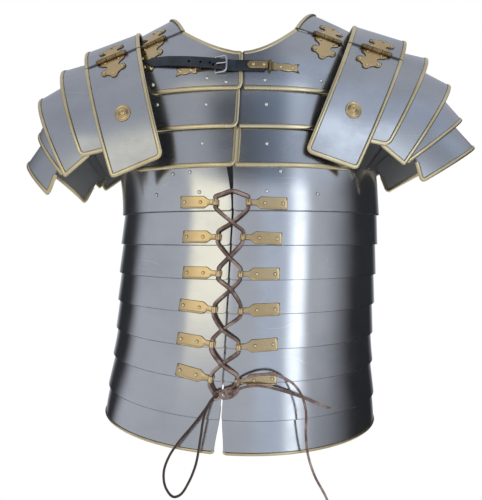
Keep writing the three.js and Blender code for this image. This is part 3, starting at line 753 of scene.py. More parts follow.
# %% [markdown]
# ## Folded edging
# The cut edges of the chest plates and guards are bound with a strip of thin brass, folded over so that
# both faces show it. On the real thing a strip is hammered round the edge. Here a C-shaped section is
# swept along the plate's own border with geometry nodes. Each point of the border knows which way is
# outward, so the section never twists.

# %% The edging's section and tree
EDGING_REACH = 4.7  # in millimetres, how far the folded strip reaches in over the plate


def edging_section():
    """The folded strip's section: x is outward from the plate and y is inwards from its edge."""
    outline = [(-0.1, EDGING_REACH), (0.3, 4.65), (0.55, 4.2), (0.85, 3.4), (1.05, 2.2), (0.95, 0.9)]
    outline += [(0.5, -0.3), (-0.6, -0.85), (-1.5, -0.3), (-1.75, 0.9), (-1.75, 2.2), (-1.5, 4.65)]
    outline += [(-1.1, EDGING_REACH)]
    points = [(x / 1000, y / 1000, 0) for x, y in outline]
    count = len(points)
    mesh = mesh_of("edging section", points, edges=[(i, (i + 1) % count) for i in range(count)])
    # rim grows from the strip's inner lip, so the finish paints a dark shadow line along that lip.
    store(mesh, "rim", [(EDGING_REACH - y) / 1000 for _, y in outline])
    return new_object("edging section", mesh)


def edging_tree():
    inputs = [("Section", "Object", None), ("Width", "Float", 1.0), ("Material", "Material", None)]
    tree = new_tree("folded edging", inputs)
    start = add_node(tree, "NodeGroupInput")
    border = add_node(tree, "GeometryNodeMeshToCurve", {"Mesh": start.outputs["Geometry"]})
    facing = add_node(
        tree,
        "GeometryNodeSetCurveNormal",
        {"Curve": border.outputs["Curve"], "Normal": named_value(tree, "outward", "FLOAT_VECTOR")},
        mode="FREE",
    )
    section = add_node(tree, "GeometryNodeObjectInfo", {"Object": start.outputs["Section"]})
    narrowed = add_node(tree, "GeometryNodeTransform", {"Geometry": section.outputs["Geometry"]})
    size = add_node(tree, "ShaderNodeCombineXYZ", {"X": 1.0, "Y": start.outputs["Width"], "Z": 1.0})
    tree.links.new(size.outputs["Vector"], narrowed.inputs["Scale"])
    profile = add_node(tree, "GeometryNodeMeshToCurve", {"Mesh": narrowed.outputs["Geometry"]})
    swept = add_node(
        tree,
        "GeometryNodeCurveToMesh",
        {"Curve": facing.outputs["Curve"], "Profile Curve": profile.outputs["Curve"], "Fill Caps": True},
    )
    return end_tree(tree, swept.outputs["Mesh"], start.outputs["Material"])


EDGING_SECTION = edging_section()
EDGING = edging_tree()
SHORTEST_STEP = 0.0002  # closer points of a border are dropped, because they would fold the strip


def outward_along(surface, us, vs):
    """Unit vectors away from the plate at rows of u and v."""
    near = surface(us, vs, 0.0)
    far = surface(us, vs, 0.001)
    away = far - near
    return away / np.linalg.norm(away, axis=-1, keepdims=True)


def edging(name, surface, us, vs, body, width=1.0):
    """A folded strip along a plate's border, which is given as rows of u and v."""
    path = surface(us, vs, 0.0)
    outward = outward_along(surface, us, vs)
    inwards = surface(mix(us, 0.5, 0.1), mix(vs, 0.5, 0.1), 0.0) - path
    keep = np.r_[True, np.linalg.norm(np.diff(path, axis=0), axis=1) > SHORTEST_STEP]
    path, outward, inwards = path[keep], outward[keep], inwards[keep]
    if (np.cross(np.gradient(path, axis=0), outward) * inwards).sum() < 0:
        path, outward = path[::-1], outward[::-1]  # the plate has to lie on one side of the way along
    line = mesh_of(name, path, edges=row_edges(len(path)))
    store(line, "outward", outward, "FLOAT_VECTOR")
    piece = run_tree(EDGING, name, line, Section=EDGING_SECTION, Width=width, Material=EDGE_BRASS)
    face_out(piece.data)
    return finish_piece(piece, body, crease=50)

# %% [markdown]
# ## Collar, chest and back plates
# Seven plates a side: a collar plate over the shoulder, and three plates in front and three behind, each
# passing under the one above it. They are patches of the dome, so each is a grid of places with its edges
# in the right spots, made a closed sheet 1.2 mm thick with a tiny rounding on its edges.

# %% Surfaces of the torso plates
# The two shoulders differ a little. 1 is the wearer's left side and -1 the right.
NECK_CORNER_X = {1: 0.066, -1: 0.075}
SPLIT_TURN = {1: math.radians(34.4), -1: math.radians(37.3)}  # the collar's hinges, on the way over
SPLIT_GAP = 0.0009
BREAST_BOTTOM = -0.111
CHEST_BOTTOMS = {"middle": -0.158, "lower": -0.2055}
CHEST_WIDTHS = {"middle": 0.128, "lower": 0.142}
CHEST_HEIGHT = 0.059
CHEST_CORNER = 0.012
SEAM_CORNERS = {1: 0.008, -1: 0.002}  # of the half that covers the other, and of the covered one
LAP = 0.0042
PLATE_GAP = 0.0004  # what the edging leaves open
UPPER_REACH = 0.141  # a breastplate's outer end, at its top
BREAST_REACH = 0.120  # and at its bottom
COLLAR_NECK_X, COLLAR_OUTER_X = 0.101, 0.163  # the collar's two edges at the top of the shoulder
COLLAR_TURN_RADIUS = 0.130  # of the way over the shoulder
NECK_MIDDLES = {"front": -0.064, "back": -0.036}  # the neckline's height at the seam
NECK_POWER = 1.8  # how suddenly the neckline rises to the shoulder
NECK_ROUNDS = {1: 0.004, -1: 0.002}  # the same, where the seam meets the neckline
BUCKLE_SHIFT = 0.003  # the collar closes nearer to the buckle than the plates below
SEAM_FADE = 0.14  # the share of a plate's width over which its seam's corners fade out


def split_height(x, side):
    return SPRING_LINE + (shoulder_top(x) - SPRING_LINE) * math.sin(SPLIT_TURN[side]) - SPLIT_GAP


def seam_x(z):
    return -0.004 + 0.06 * np.minimum(0, z - BREAST_BOTTOM)


def upper_plate(side, facing):
    middle = NECK_MIDDLES["front" if facing < 0 else "back"]
    neck_round = NECK_ROUNDS[side * facing]
    shift = BUCKLE_SHIFT if facing < 0 else 0.0
    seam_corner = SEAM_CORNERS[side * facing]
    corner_x = NECK_CORNER_X[side]

    def surface(u, v, off):
        reach = u * UPPER_REACH
        rising = (np.minimum(reach, corner_x) / corner_x) ** NECK_POWER
        neck = mix(middle, split_height(corner_x, side), rising)
        top = np.where(reach < corner_x, neck, split_height(reach, side))
        z = mix(top, BREAST_BOTTOM + corner_cut((1 - u) * BREAST_REACH, CHEST_CORNER), v)
        x = side * mix(reach, u * BREAST_REACH, v)
        seam = (seam_x(z) + shift + side * PLATE_GAP / 2) * (1 - u)
        cut = corner_cut(z - BREAST_BOTTOM, seam_corner) + corner_cut(top - z, neck_round)
        seam = seam + side * cut * (1 - smooth(u / SEAM_FADE))
        return torso_point(x + seam, z, off, facing)

    return surface


def lower_plate(side, facing, bottom, width):
    seam_corner = SEAM_CORNERS[side * facing]

    def surface(u, v, off):
        z = mix(bottom + CHEST_HEIGHT, bottom + corner_cut((1 - u) * width, CHEST_CORNER), v)
        tuck = -LAP * (z - bottom) / CHEST_HEIGHT
        cut = corner_cut(z - bottom, seam_corner) * (1 - smooth(u / SEAM_FADE))
        seam = (seam_x(z) + side * PLATE_GAP / 2) * (1 - u) + side * cut
        return torso_point(side * u * width + seam, z, off + tuck, facing)

    return surface


def collar_plate(side):
    def surface(u, v, off):
        start = SPLIT_TURN[side]
        turn = mix(start, math.pi - start, u) + (SPLIT_GAP / COLLAR_TURN_RADIUS) * (1 - 2 * u)
        neck = mix(NECK_CORNER_X[side], COLLAR_NECK_X, np.sin(math.pi * u))
        outer = mix(UPPER_REACH, COLLAR_OUTER_X, np.sin(math.pi * u))
        return over_shoulder(side * mix(neck, outer, v), turn, off)

    return surface


# Fine steps at both ends, where corners are rounded, and even steps between them.
END_STEPS = np.array([0, 0.002, 0.006, 0.012, 0.02, 0.03, 0.045, 0.065, 0.09, 0.12])


def rounded_steps(count):
    middle = np.linspace(END_STEPS[-1], 1 - END_STEPS[-1], count)[1:-1]
    return np.concatenate([END_STEPS, middle, 1 - END_STEPS[::-1]])


# %% Torso plates and their edging
def neck_steps(side):
    """Steps along a neckline, one of them at its corner."""
    corner = NECK_CORNER_X[side] / UPPER_REACH
    before = np.linspace(END_STEPS[-1], corner, 12)[1:]
    after = np.linspace(corner, 1 - END_STEPS[-1], 9)[1:]
    return np.concatenate([END_STEPS, before, after, 1 - END_STEPS[::-1][1:]])


def along_border(*legs):
    """Joins legs of a border, each a pair of a row of u and a row of v, one of them a single number."""
    us = np.concatenate([np.broadcast_to(u, np.broadcast(u, v).shape) for u, v in legs])
    vs = np.concatenate([np.broadcast_to(v, np.broadcast(u, v).shape) for u, v in legs])
    return us, vs


FINE = rounded_steps(40)
for side_name, side in SIDES.items():
    surface = collar_plate(side)
    plate("collar_" + side_name, surface, steps(0, 1, 14), steps(0, 1, 40), "root",
          SATIN_STEEL, "collar_plate_" + side_name)
    edging("edging_neck_" + side_name, surface, *along_border((FINE, 0.0)), "root")
    for facing_name, facing in FACINGS.items():
        region = "chest" if facing < 0 else "back"
        node = ("breastplate_" if facing < 0 else "back_plate_upper_") + side_name
        surface = upper_plate(side, facing)
        plate(f"{region}_upper_{side_name}", surface, FINE, neck_steps(side), "root",
              SATIN_STEEL, node)
        neck = steps(NECK_CORNER_X[side] / UPPER_REACH, 0, 30)
        bound = side * facing > 0  # the halves whose bound edge covers the other half's plain one
        legs = [(neck, 0.0)] + ([(0.0, FINE)] if bound else []) + [(FINE, 1.0)]
        if bound:
            edging(f"edging_{region}_upper_{side_name}", surface, *along_border(*legs), "root")
        else:
            edging(f"edging_{region}_neck_{side_name}", surface, *along_border(legs[0]), "root")
            edging(f"edging_{region}_upper_{side_name}", surface, *along_border(legs[1]), "root")
        for level, bottom in CHEST_BOTTOMS.items():
            surface = lower_plate(side, facing, bottom, CHEST_WIDTHS[level])
            plate(f"{region}_{level}_{side_name}", surface, FINE, FINE, "root",
                  SATIN_STEEL, f"{region}_plate_{level}_{side_name}")
            if bound or level == "lower":
                legs = [(0.0, FINE), (FINE, 1.0)]
            else:
                legs = [(FINE, 1.0)]
            edging(f"edging_{region}_{level}_{side_name}", surface, *along_border(*legs), "root")
print("torso plates made")

# %% [markdown]
# ## Rivets
# A rivet is a small domed head, a little proud of the metal. There are 170 of them, so they are
# collected first as places with an outward direction. A geometry node tree then sets one head on each
# place, and every body of the armour gets one mesh of its own rivets.

# %% Rivet list and tree
RIVETS = {}


def rivet_on(body, surface, a, b, size=1.0, kind="rivet_metal", lift=0.0):
    """Puts a rivet on a surface at its own coordinates a and b, with lift over it."""
    spot = [np.array([float(a)]), np.array([float(b)])]
    place = surface(*spot, lift)[0]
    outward = surface(*spot, lift + 0.001)[0] - place
    RIVETS.setdefault((body, kind), []).append((place, outward / np.linalg.norm(outward), size))


def spun(name, profile, count):
    """A closed turned form from (radius, height) pairs that start and end on the axis."""
    rings = [(r, h) for r, h in profile if r > 0]
    points = [(0, 0, profile[0][1])]
    for r, h in rings:
        for k in range(count):
            turn = 2 * math.pi * k / count
            points.append((r * math.cos(turn), r * math.sin(turn), h))
    points.append((0, 0, profile[-1][1]))
    # rim is a point's height over the foot: a finish paints a rivet head or the roundel darker low down, as
    # shade at its foot and in its grooves.
    foot = [max(0.0, point[2]) for point in points]
    faces = []
    for k in range(count):
        after = (k + 1) % count
        faces.append((0, 1 + after, 1 + k))
        for j in range(len(rings) - 1):
            low, high = 1 + j * count, 1 + (j + 1) * count
            faces.append((low + k, low + after, high + after, high + k))
        top = 1 + (len(rings) - 1) * count
        faces.append((top + k, top + after, len(points) - 1))
    mesh = mesh_of(name, points, faces)
    store(mesh, "rim", foot)
    face_out(mesh)
    return mesh


def dome_profile(radius, height, sunk, count):
    rows = [(0, -sunk), (radius, -sunk)]
    for k in range(count):
        turn = math.pi / 2 * k / count
        rows.append((radius * math.cos(turn), height * math.sin(turn)))
    rows.append((0, height))
    return rows


def fitting_tree():
    tree = new_tree("fittings on places", [("Fitting", "Object", None), ("Material", "Material", None)])
    start = add_node(tree, "NodeGroupInput")
    fitting = add_node(tree, "GeometryNodeObjectInfo", {"Object": start.outputs["Fitting"]})
    outward = named_value(tree, "outward", "FLOAT_VECTOR")
    turned = add_node(tree, "FunctionNodeAlignRotationToVector", {"Vector": outward}, axis="Z")
    settings = {
        "Points": start.outputs["Geometry"],
        "Instance": fitting.outputs["Geometry"],
        "Rotation": turned.outputs["Rotation"],
        "Scale": named_value(tree, "size", "FLOAT"),
    }
    placed = add_node(tree, "GeometryNodeInstanceOnPoints", settings)
    return end_tree(tree, placed.outputs["Instances"], start.outputs["Material"])


FITTING = fitting_tree()
RIVET_RADIUS = 0.0025
RIVET_HEIGHT = 0.0017
RIVET_SUNK = 0.0006
rivet_form = spun("rivet head", dome_profile(RIVET_RADIUS, RIVET_HEIGHT, RIVET_SUNK, 5), 16)
RIVET_HEAD = new_object("rivet head", rivet_form)


def set_fittings(name, head, rows, material, body):
    mesh = mesh_of(name, [place for place, _, _ in rows])
    store(mesh, "outward", [outward for _, outward, _ in rows], "FLOAT_VECTOR")
    store(mesh, "size", [size for _, _, size in rows])
    piece = run_tree(FITTING, name, mesh, Fitting=head, Material=material)
    return finish_piece(piece, body, crease=60)


# %% [markdown]
# ## Girdle
# Eight hoops a side, each passing up under the one above. Their polished faces carry long soft
# reflections, so they need an even, dense grid, and a slow unevenness of a fraction of a millimetre that
# makes those reflections waver as they do on real sheet.

# %% Hoops
HOOP_BOTTOMS = [-0.259, -0.300, -0.341, -0.381, -0.422, -0.4615, -0.507, RIM_HEIGHT]
HOOP_HEIGHT = 0.055
FIRST_HOOP_HEIGHT = 0.0585
HOOP_CORNER = 0.0035
HOOP_LENGTH = math.pi * HALF_WIDTH * 0.9  # about half of the oval's way round
FIRST_HOOP_LAP = 0.00215
SEAM_GAP = 0.002
OPEN_RIM_GAP = 0.011
TOP_GAP = 0.005
TOP_GAP_START = -0.250
GAP_RUN = 0.050  # the height over which the seam opens
UNEVENNESS = 0.00014
EVEN_END = 0.05  # this far from its ends a hoop starts to get even again
HOOP_SEED = 40


def gap_at(z):
    """The front seam opens a little at the rim and at the top."""
    at_rim = smooth((RIM_HEIGHT + GAP_RUN - z) / GAP_RUN)
    at_top = smooth((z - TOP_GAP_START) / GAP_RUN)
    return SEAM_GAP + (OPEN_RIM_GAP - SEAM_GAP) * at_rim + TOP_GAP * at_top


def girdle_angle(side, facing, from_seam, z):
    seam = facing * math.pi / 2 - facing * SEAM_ANGLE
    return seam - side * facing * from_seam / width_at(z)


def hoop_tuck(number, z):
    bottom = HOOP_BOTTOMS[number - 1]
    inset, height = (FIRST_HOOP_LAP, FIRST_HOOP_HEIGHT) if number == 1 else (LAP, HOOP_HEIGHT)
    return -inset * (z - bottom) / height


def hoop(number, side):
    bottom = HOOP_BOTTOMS[number - 1]
    top = bottom + (FIRST_HOOP_HEIGHT if number == 1 else HOOP_HEIGHT)

    def surface(u, v, off):
        from_end = np.minimum(u, 1 - u) * HOOP_LENGTH
        z = mix(top, bottom + corner_cut(from_end, HOOP_CORNER), v)
        start = girdle_angle(side, -1, gap_at(z) / 2, z)
        end = girdle_angle(side, 1, SEAM_GAP / 2, z)
        turn = end - start if side > 0 else end - 2 * math.pi - start
        flat = girdle_point(start + u * turn, z, off + hoop_tuck(number, z))
        worked = wavy(flat, UNEVENNESS, HOOP_SEED + number) * smooth(from_end / EVEN_END)
        return girdle_point(start + u * turn, z, off + hoop_tuck(number, z) + worked)

    return surface


HOOP_ENDS = np.array([0, 0.0004, 0.0012, 0.0025, 0.0045, 0.0075, 0.0115, 0.018, 0.028, 0.042])
HOOP_COLUMNS = np.concatenate([HOOP_ENDS, np.linspace(0.055, 0.945, 84), 1 - HOOP_ENDS[::-1]])
HOOP_EDGE = np.array([0, 0.006, 0.02, 0.05])  # rows close to an edge keep its roundness off the face
HOOP_ROWS = np.concatenate([HOOP_EDGE, np.linspace(0.1, 0.9, 11), 1 - HOOP_EDGE[::-1]])
for side_name, side in SIDES.items():
    for number in range(1, 9):
        body = "root" if number == 1 else f"girdle_{number}"
        surface = hoop(number, side)
        plate(f"hoop_{number}_{side_name}", surface, HOOP_ROWS, HOOP_COLUMNS, body,
              POLISHED_STEEL, f"girdle_hoop_{number}_{side_name}", bevel=0.00012)
    edging("edging_rim_" + side_name, surface, *along_border((HOOP_COLUMNS, 1.0)), body, width=0.7)
print("hoops made")

# %% [markdown]
# ## Tie-loops
# The upper six hoops have a brass tie-loop at each end. Each is a strip with two rivets that narrows to a
# neck and is rolled back into an eye, through which the lace runs upwards. The strip is drawn flat, cut
# both ways every few millimetres, and laid on the hoop's curve, so that it follows the steel.

# %% A flat outline, laid on a surface
FAR_FROM_RIM = 0.01
THINNEST_CUT = 0.3  # in millimetres, so that no sliver is cut off


def arc(centre_x, centre_y, radius, start, end, count):
    turns = np.radians(np.linspace(start, end, count))
    return [(centre_x + radius * math.cos(t), centre_y + radius * math.sin(t)) for t in turns]


def mirrored(half):
    """Completes an outline from its right half, given from the top down to the middle line."""
    return half + [(-x, y) for x, y in reversed(half) if abs(x) > 1e-9]


def outline_distance(points, outline):
    """Distance of each point from a closed outline, both in millimetres."""
    start = np.array(outline)
    way = np.roll(start, -1, axis=0) - start
    from_start = points[:, None, :] - start
    share = np.clip((from_start * way).sum(-1) / (way**2).sum(-1), 0, 1)
    return np.linalg.norm(from_start - share[..., None] * way, axis=-1).min(axis=1)


def cut_grid(shape, outline, every):
    """Cuts a flat face both ways, so that it can follow a surface that curves both ways."""
    for axis in (0, 1):
        reach = [point[axis] for point in outline]
        normal = [1 - axis, axis, 0]
        for level in np.arange(min(reach) + every, max(reach) - THINNEST_CUT, every):
            parts = shape.verts[:] + shape.edges[:] + shape.faces[:]
            place = [level * part for part in normal]
            bmesh.ops.bisect_plane(shape, geom=parts, dist=0.01, plane_co=place, plane_no=normal)


def laid_outline(outline, thickness, lay, cut_every, sunk, slope=None):
    """A plate of this outline (mm), cut into small faces and laid by lay(x, y, height), as a bmesh."""
    shape = bmesh.new()
    rim = shape.verts.layers.float.new("rim")
    shape.faces.new([shape.verts.new((x, y, 0)) for x, y in outline])
    cut_grid(shape, outline, cut_every)
    made = bmesh.ops.extrude_face_region(shape, geom=shape.faces[:])
    for vert in made["geom"]:
        if isinstance(vert, bmesh.types.BMVert):
            vert.co.z = thickness
    rows = np.array([vert.co for vert in shape.verts])
    lift = rows[:, 2] - sunk + (slope(rows[:, 0], rows[:, 1]) if slope else 0)
    places = lay(rows[:, 0] / 1000, rows[:, 1] / 1000, lift / 1000)
    # rim is the distance from the outline, so the finish paints a dark outline round a leaf or loop, as dirt
    # and shade at its edge.
    for vert, place, distance in zip(shape.verts, places, outline_distance(rows[:, :2], outline)):
        vert.co = place
        vert[rim] = distance / 1000
    bmesh.ops.recalc_face_normals(shape, faces=shape.faces)
    return shape


def bent_tube(outer, inner, start, end, half_length, count, lay):
    """A rolled eye: part of a tube round the local y axis at (0, height), laid by lay(x, y, height)."""
    shape = bmesh.new()
    rings = []
    radius = np.array([outer, outer, inner, inner])
    y = half_length * np.array([-1, 1, 1, -1])
    for turn in np.radians(np.linspace(start, end, count)):
        spots = lay(radius * math.cos(turn), y, radius * math.sin(turn))
        rings.append([shape.verts.new(spot) for spot in spots])
    for a, b in zip(rings, rings[1:]):
        for k in range(4):
            shape.faces.new((a[k], a[(k + 1) % 4], b[(k + 1) % 4], b[k]))
    shape.faces.new(rings[0])
    shape.faces.new(rings[-1][::-1])
    bmesh.ops.recalc_face_normals(shape, faces=shape.faces)
    return shape


def joined(name, shapes):
    """One mesh from several bmeshes. A shape without distances from its rim counts as far from it."""
    total = bmesh.new()
    total.verts.layers.float.new("rim")
    for shape in shapes:
        if "rim" not in shape.verts.layers.float:
            rim = shape.verts.layers.float.new("rim")
            for vert in shape.verts:
                vert[rim] = FAR_FROM_RIM
        part = bpy.data.meshes.new("part")
        shape.to_mesh(part)
        total.from_mesh(part)
        shape.free()
        bpy.data.meshes.remove(part)
    mesh = bpy.data.meshes.new(name)
    total.to_mesh(mesh)
    total.free()
    return mesh


# %% Tie-loops on the hoops
TIE_LOOP_RISE = 0.0085
BACK_EYE = 0.0165  # from the seam
PLATE_END = -46.5  # in millimetres, from the eye
EYE_HEIGHT = 0.0041
EYE_OUTER = 0.0034
EYE_INNER = 0.0026
EYE_HALF = 0.0034
LOOP_RIVETS = (-41.0, -19.5)
# Every lace pulls its own way: distance of each eye from the seam in millimetres, from the top hoop down,
# and how far each strip leans, in degrees.
FRONT_EYES = {"left": (19, 14, 13.5, 16, 16, 17), "right": (19.5, 15, 12, 14.6, 15, 14)}
FRONT_LEANS = {"left": (-2, -3, 0, 2, 4, 4), "right": (-1, 0, 0, -4, -4, -8)}
# How high each eye is over its hoop's lower edge, in millimetres.
FRONT_RISES = {"left": (9.9, 10.2, 7.5, 4.6, 3.0, 2.0), "right": (10.2, 10.2, 8.0, 5.2, 5.0, 3.4)}


def loop_outline():
    half = arc(PLATE_END + 1.2, 6.3, 1.2, 180, 90, 4)
    half += [(-15.5, 7.5), (-14.6, 7.1), (-10.0, 3.9), (-8.5, 3.3), (-2.0, 3.3)]
    return half + [(x, -y) for x, y in reversed(half)]


def loop_places(number, side, facing):
    """The eye's distance from the seam, and the function that lays local places on the hoop."""
    side_name = "left" if side > 0 else "right"
    eye, lean, rise = BACK_EYE, 0.0, TIE_LOOP_RISE
    if facing < 0:
        rise = FRONT_RISES[side_name][number - 1] / 1000
        eye = FRONT_EYES[side_name][number - 1] / 1000
        lean = math.radians(FRONT_LEANS[side_name][number - 1])
    middle = HOOP_BOTTOMS[number - 1] + rise

    def lay(x, y, height):
        along = x * math.cos(lean) - y * math.sin(lean) * side * facing
        up = y * math.cos(lean) + x * math.sin(lean) * side * facing
        z = middle + up
        angle = girdle_angle(side, facing, eye - along, z)
        return girdle_point(angle, z, height + hoop_tuck(number, z))

    return eye, lay


def neck_rise(x, y):
    """The strip leaves the hoop towards its eye."""
    return 1.1 * smooth((x + 11) / 7)


for number in range(1, 7):
    body = "root" if number == 1 else f"girdle_{number}"
    shapes = []
    for side in SIDES.values():
        for facing in FACINGS.values():
            eye, lay = loop_places(number, side, facing)
            shapes.append(laid_outline(loop_outline(), 1.3, lay, 3.5, 0.2, neck_rise))

            def lay_eye(x, y, height):
                return lay(x, y, height + EYE_HEIGHT)

            shapes.append(bent_tube(EYE_OUTER, EYE_INNER, -150, 165, EYE_HALF, 22, lay_eye))
            for x in LOOP_RIVETS:
                rivet_on(body, lambda a, b, off: lay(a, b, off), x / 1000, 0, 0.9, "rivet_brass", 0.0011)
    loops = new_object(f"tie_loops_{number}", joined(f"tie_loops_{number}", shapes))
    soften(loops, 0.00025, 50)
    finish_piece(loops, body, FITTING_BRASS, crease=40)
print("tie-loops made")

# %% [markdown]
# ## Shoulder guards
# Each guard is a fan of strips over the arm. A strip is ruled between an inner and an outer rail, each half
# an oval that runs from the chest over the arm to the back. The widest one, next to the neck, is hinged
# into three parts. Four lesser strips pass under it, each under the one before.

# %% Guard surfaces
SWAY_AT_ENDS = -0.011
TURN_STEP = 0.01  # for slopes along a strip
HINGE_TURN = {1: math.radians(48.3), -1: math.radians(50)}
GUARD_RADIUS = 0.161
TUCK_DEPTH = 0.0036
# Each rail: x and z at the top of the arm, x and z at its ends, its half depth, and its sway at the top.
MAIN_INNER = (0.151, 0.0045, 0.086, -0.190, 0.137, 0.0055)
MAIN_OUTER = (0.225, -0.019, 0.151, -0.2125, 0.124, 0.005)
TUCK_PLACE = 0.76  # across the plate above, where a lesser plate's inner edge lies
# Each lesser rail, then where it starts under the plate above, how much deeper it lies at the top, and
# where its inner edge lies across the plate above at the ends.
LESSER = [
    ((0.257, -0.044, 0.193, -0.183, 0.111, 0.0035), 0.17, 0.013, TUCK_PLACE),
    ((0.2905, -0.083, 0.2155, -0.2065, 0.101, 0.0035), 0.0, 0.012, TUCK_PLACE),
    ((0.300, -0.1335, 0.2225, -0.203, 0.092, 0.012), 0.1, 0.012, TUCK_PLACE),
    ((0.318, -0.1735, 0.243, -0.228, 0.082, 0.013), 0.12, 0.010, 0.46),
]
LESSER_CORNERS = (0.010, 0.005, 0.007, 0.011)


def rail_point(side, rail, turn):
    top_x, top_z, end_x, end_z, depth, sway = rail
    rise = np.sin(turn)
    x = side * mix(end_x, top_x, rise) + mix(SWAY_AT_ENDS, sway, rise)
    return np.stack([x, -depth * np.cos(turn), mix(end_z, top_z, rise) + SHOULDER_TILT * x], -1)


def ruled(side, inner, outer):
    """The surface between two rails, with its outward side away from the arm."""
    middle = np.array([side * 0.160, 0, -0.150])

    def bare(turn, w):
        share = np.asarray(w)[..., None]
        return inner(turn) * (1 - share) + outer(turn) * share

    def surface(turn, w, off):
        turn, w = np.broadcast_arrays(np.asarray(turn, float), np.asarray(w, float))
        point = bare(turn, w)
        along = bare(turn + TURN_STEP, w) - bare(turn - TURN_STEP, w)
        across = bare(turn, np.ones_like(w)) - bare(turn, np.zeros_like(w))
        normal = np.cross(along, across)
        normal /= np.linalg.norm(normal, axis=-1, keepdims=True)
        normal *= np.sign((normal * (point - middle)).sum(-1, keepdims=True))
        return point + normal * np.asarray(off)[..., None]

    return surface


def main_guard(side):
    return ruled(side, lambda t: rail_point(side, MAIN_INNER, t), lambda t: rail_point(side, MAIN_OUTER, t))


def lesser_guards(side):
    surfaces = []
    above = main_guard(side)
    for rail, start, drop, end_place in LESSER:

        def inner(turn, under=above, start=start, drop=drop, end_place=end_place):
            rise = np.maximum(0, np.sin(turn))
            across = mix(end_place, TUCK_PLACE, rise)
            return under(mix(start, math.pi - start, turn / math.pi), across, -TUCK_DEPTH - drop * rise**2)

        above = ruled(side, inner, lambda turn, rail=rail: rail_point(side, rail, turn))
        surfaces.append(above)
    return surfaces


STRIP_LENGTH, STRIP_WIDTH = 0.190, 0.062  # about what a strip measures, to scale its corners
INNER_CORNER = 0.007


def strip(surface, start, end, outer_corner=0.006):
    """A strip plate from one turn to another, with round corners where it ends at the rails' ends."""

    def rounded(u, w, off):
        inner_cut = corner_cut(w * STRIP_WIDTH, INNER_CORNER)
        cut = (inner_cut + corner_cut((1 - w) * STRIP_WIDTH, outer_corner)) / STRIP_LENGTH
        low = cut if start == 0 else 0
        high = cut if end == math.pi else 0
        return surface(mix(start + low, end - high, u), w, off)

    return rounded


# %% [markdown]
# ## Lobed hinges
# The collar and the main guards are joined by brass hinges with three lobes, a traditional form. Each leaf
# is drawn flat as arcs, laid on its plate and fastened with five rivets. The knuckles are rolled from the
# leaves in turn, and a pin with two small heads holds them.

# %% Hinge pieces
LEAF_THICKNESS = 1.3  # in millimetres, as the leaf's outline is
KNUCKLE_RADIUS = 0.0027
KNUCKLE_HALF = 0.0195
KNUCKLE_MIDDLE = 0.0065
KNUCKLE_GAP = 0.0004
LEAF_RIVETS = ((-9.5, 6.6), (9.5, 6.6), (-12.6, 22.8), (12.6, 22.8), (0.0, 29.2))


def leaf_outline():
    """Half a leaf from its hinge edge down: the shoulder, the waist, a side lobe and the end lobe."""
    half = [(17.5, 1.2), (17.5, 6.0)]
    half += [(16.8, 8.4), (14.2, 10.4), (10.6, 12.0), (8.4, 14.2), (8.2, 16.6)]
    half += arc(12.6, 22.6, 5.0, -125, 120, 14)
    half += arc(0.0, 29.4, 5.4, 10, 90, 7)
    return mirrored(half)


def rod(start, end, radius, count=20, rounding=0.0003):
    """A closed round bar with slightly rounded ends."""
    start, end = Vector(start), Vector(end)
    length = (end - start).length
    profile = [(0, 0), (radius - rounding, 0), (radius, rounding), (radius, length - rounding)]
    profile += [(radius - rounding, length), (0, length)]
    mesh = spun("rod", profile, count)
    shape = bmesh.new()
    shape.from_mesh(mesh)
    rim = shape.verts.layers.float["rim"]
    turn = Vector((0, 0, 1)).rotation_difference(end - start).to_matrix()
    # rim is the distance from the rod's ends, so a finish darkens knuckles and pin heads near their ends.
    for vert in shape.verts:
        vert[rim] = min(vert.co.z, length - vert.co.z)
        vert.co = turn @ vert.co + start
    bpy.data.meshes.remove(mesh)
    return shape


def knuckles(centre, axis, spans):
    return [rod(centre + axis * a, centre + axis * b, KNUCKLE_RADIUS) for a, b in spans]


UPPER_SPANS = [(-KNUCKLE_HALF, -KNUCKLE_MIDDLE - KNUCKLE_GAP), (KNUCKLE_MIDDLE + KNUCKLE_GAP, KNUCKLE_HALF)]
LOWER_SPANS = [(-KNUCKLE_MIDDLE, KNUCKLE_MIDDLE)]


def hinge_leaf(lay, centre, axis, upper, body):
    """The bmeshes of one leaf with its knuckles, and its rivets."""
    for x, y in LEAF_RIVETS:
        rivet_on(body, lay, x / 1000, y / 1000, 0.85, "rivet_brass", 0.0009)
    leaf = laid_outline(leaf_outline(), LEAF_THICKNESS, lay, 3.5, 0.25)
    return [leaf] + knuckles(centre, axis, UPPER_SPANS if upper else LOWER_SPANS)


PIN_RADIUS = 0.0011
PIN_HEAD_RADIUS, PIN_HEAD_LENGTH, PIN_HEAD_ROUNDING = 0.0023, 0.0015, 0.0005


def pin_heads(centre, axis):
    """The pin shows only as a small round head at each end of the knuckles."""
    half = KNUCKLE_HALF + KNUCKLE_GAP
    end = half + PIN_HEAD_LENGTH
    shapes = [rod(centre - axis * end, centre + axis * end, PIN_RADIUS, 16)]
    for sign in (-1, 1):
        low, high = centre + axis * sign * half, centre + axis * sign * end
        shapes.append(rod(low, high, PIN_HEAD_RADIUS, 16, PIN_HEAD_ROUNDING))
    return shapes


def brass_piece(name, shapes, body, stands_for=()):
    piece = new_object(name, joined(name, shapes))
    soften(piece, 0.0003, 50)
    return finish_piece(piece, body, FITTING_BRASS, stands_for, 40)


# %% Main guards
HINGE_PLACE = 0.5  # across the strip
GUARD_LEAF_LEAN = {1: 0.20, -1: 0.0}  # how far a leaf leans along the hinge, for its length


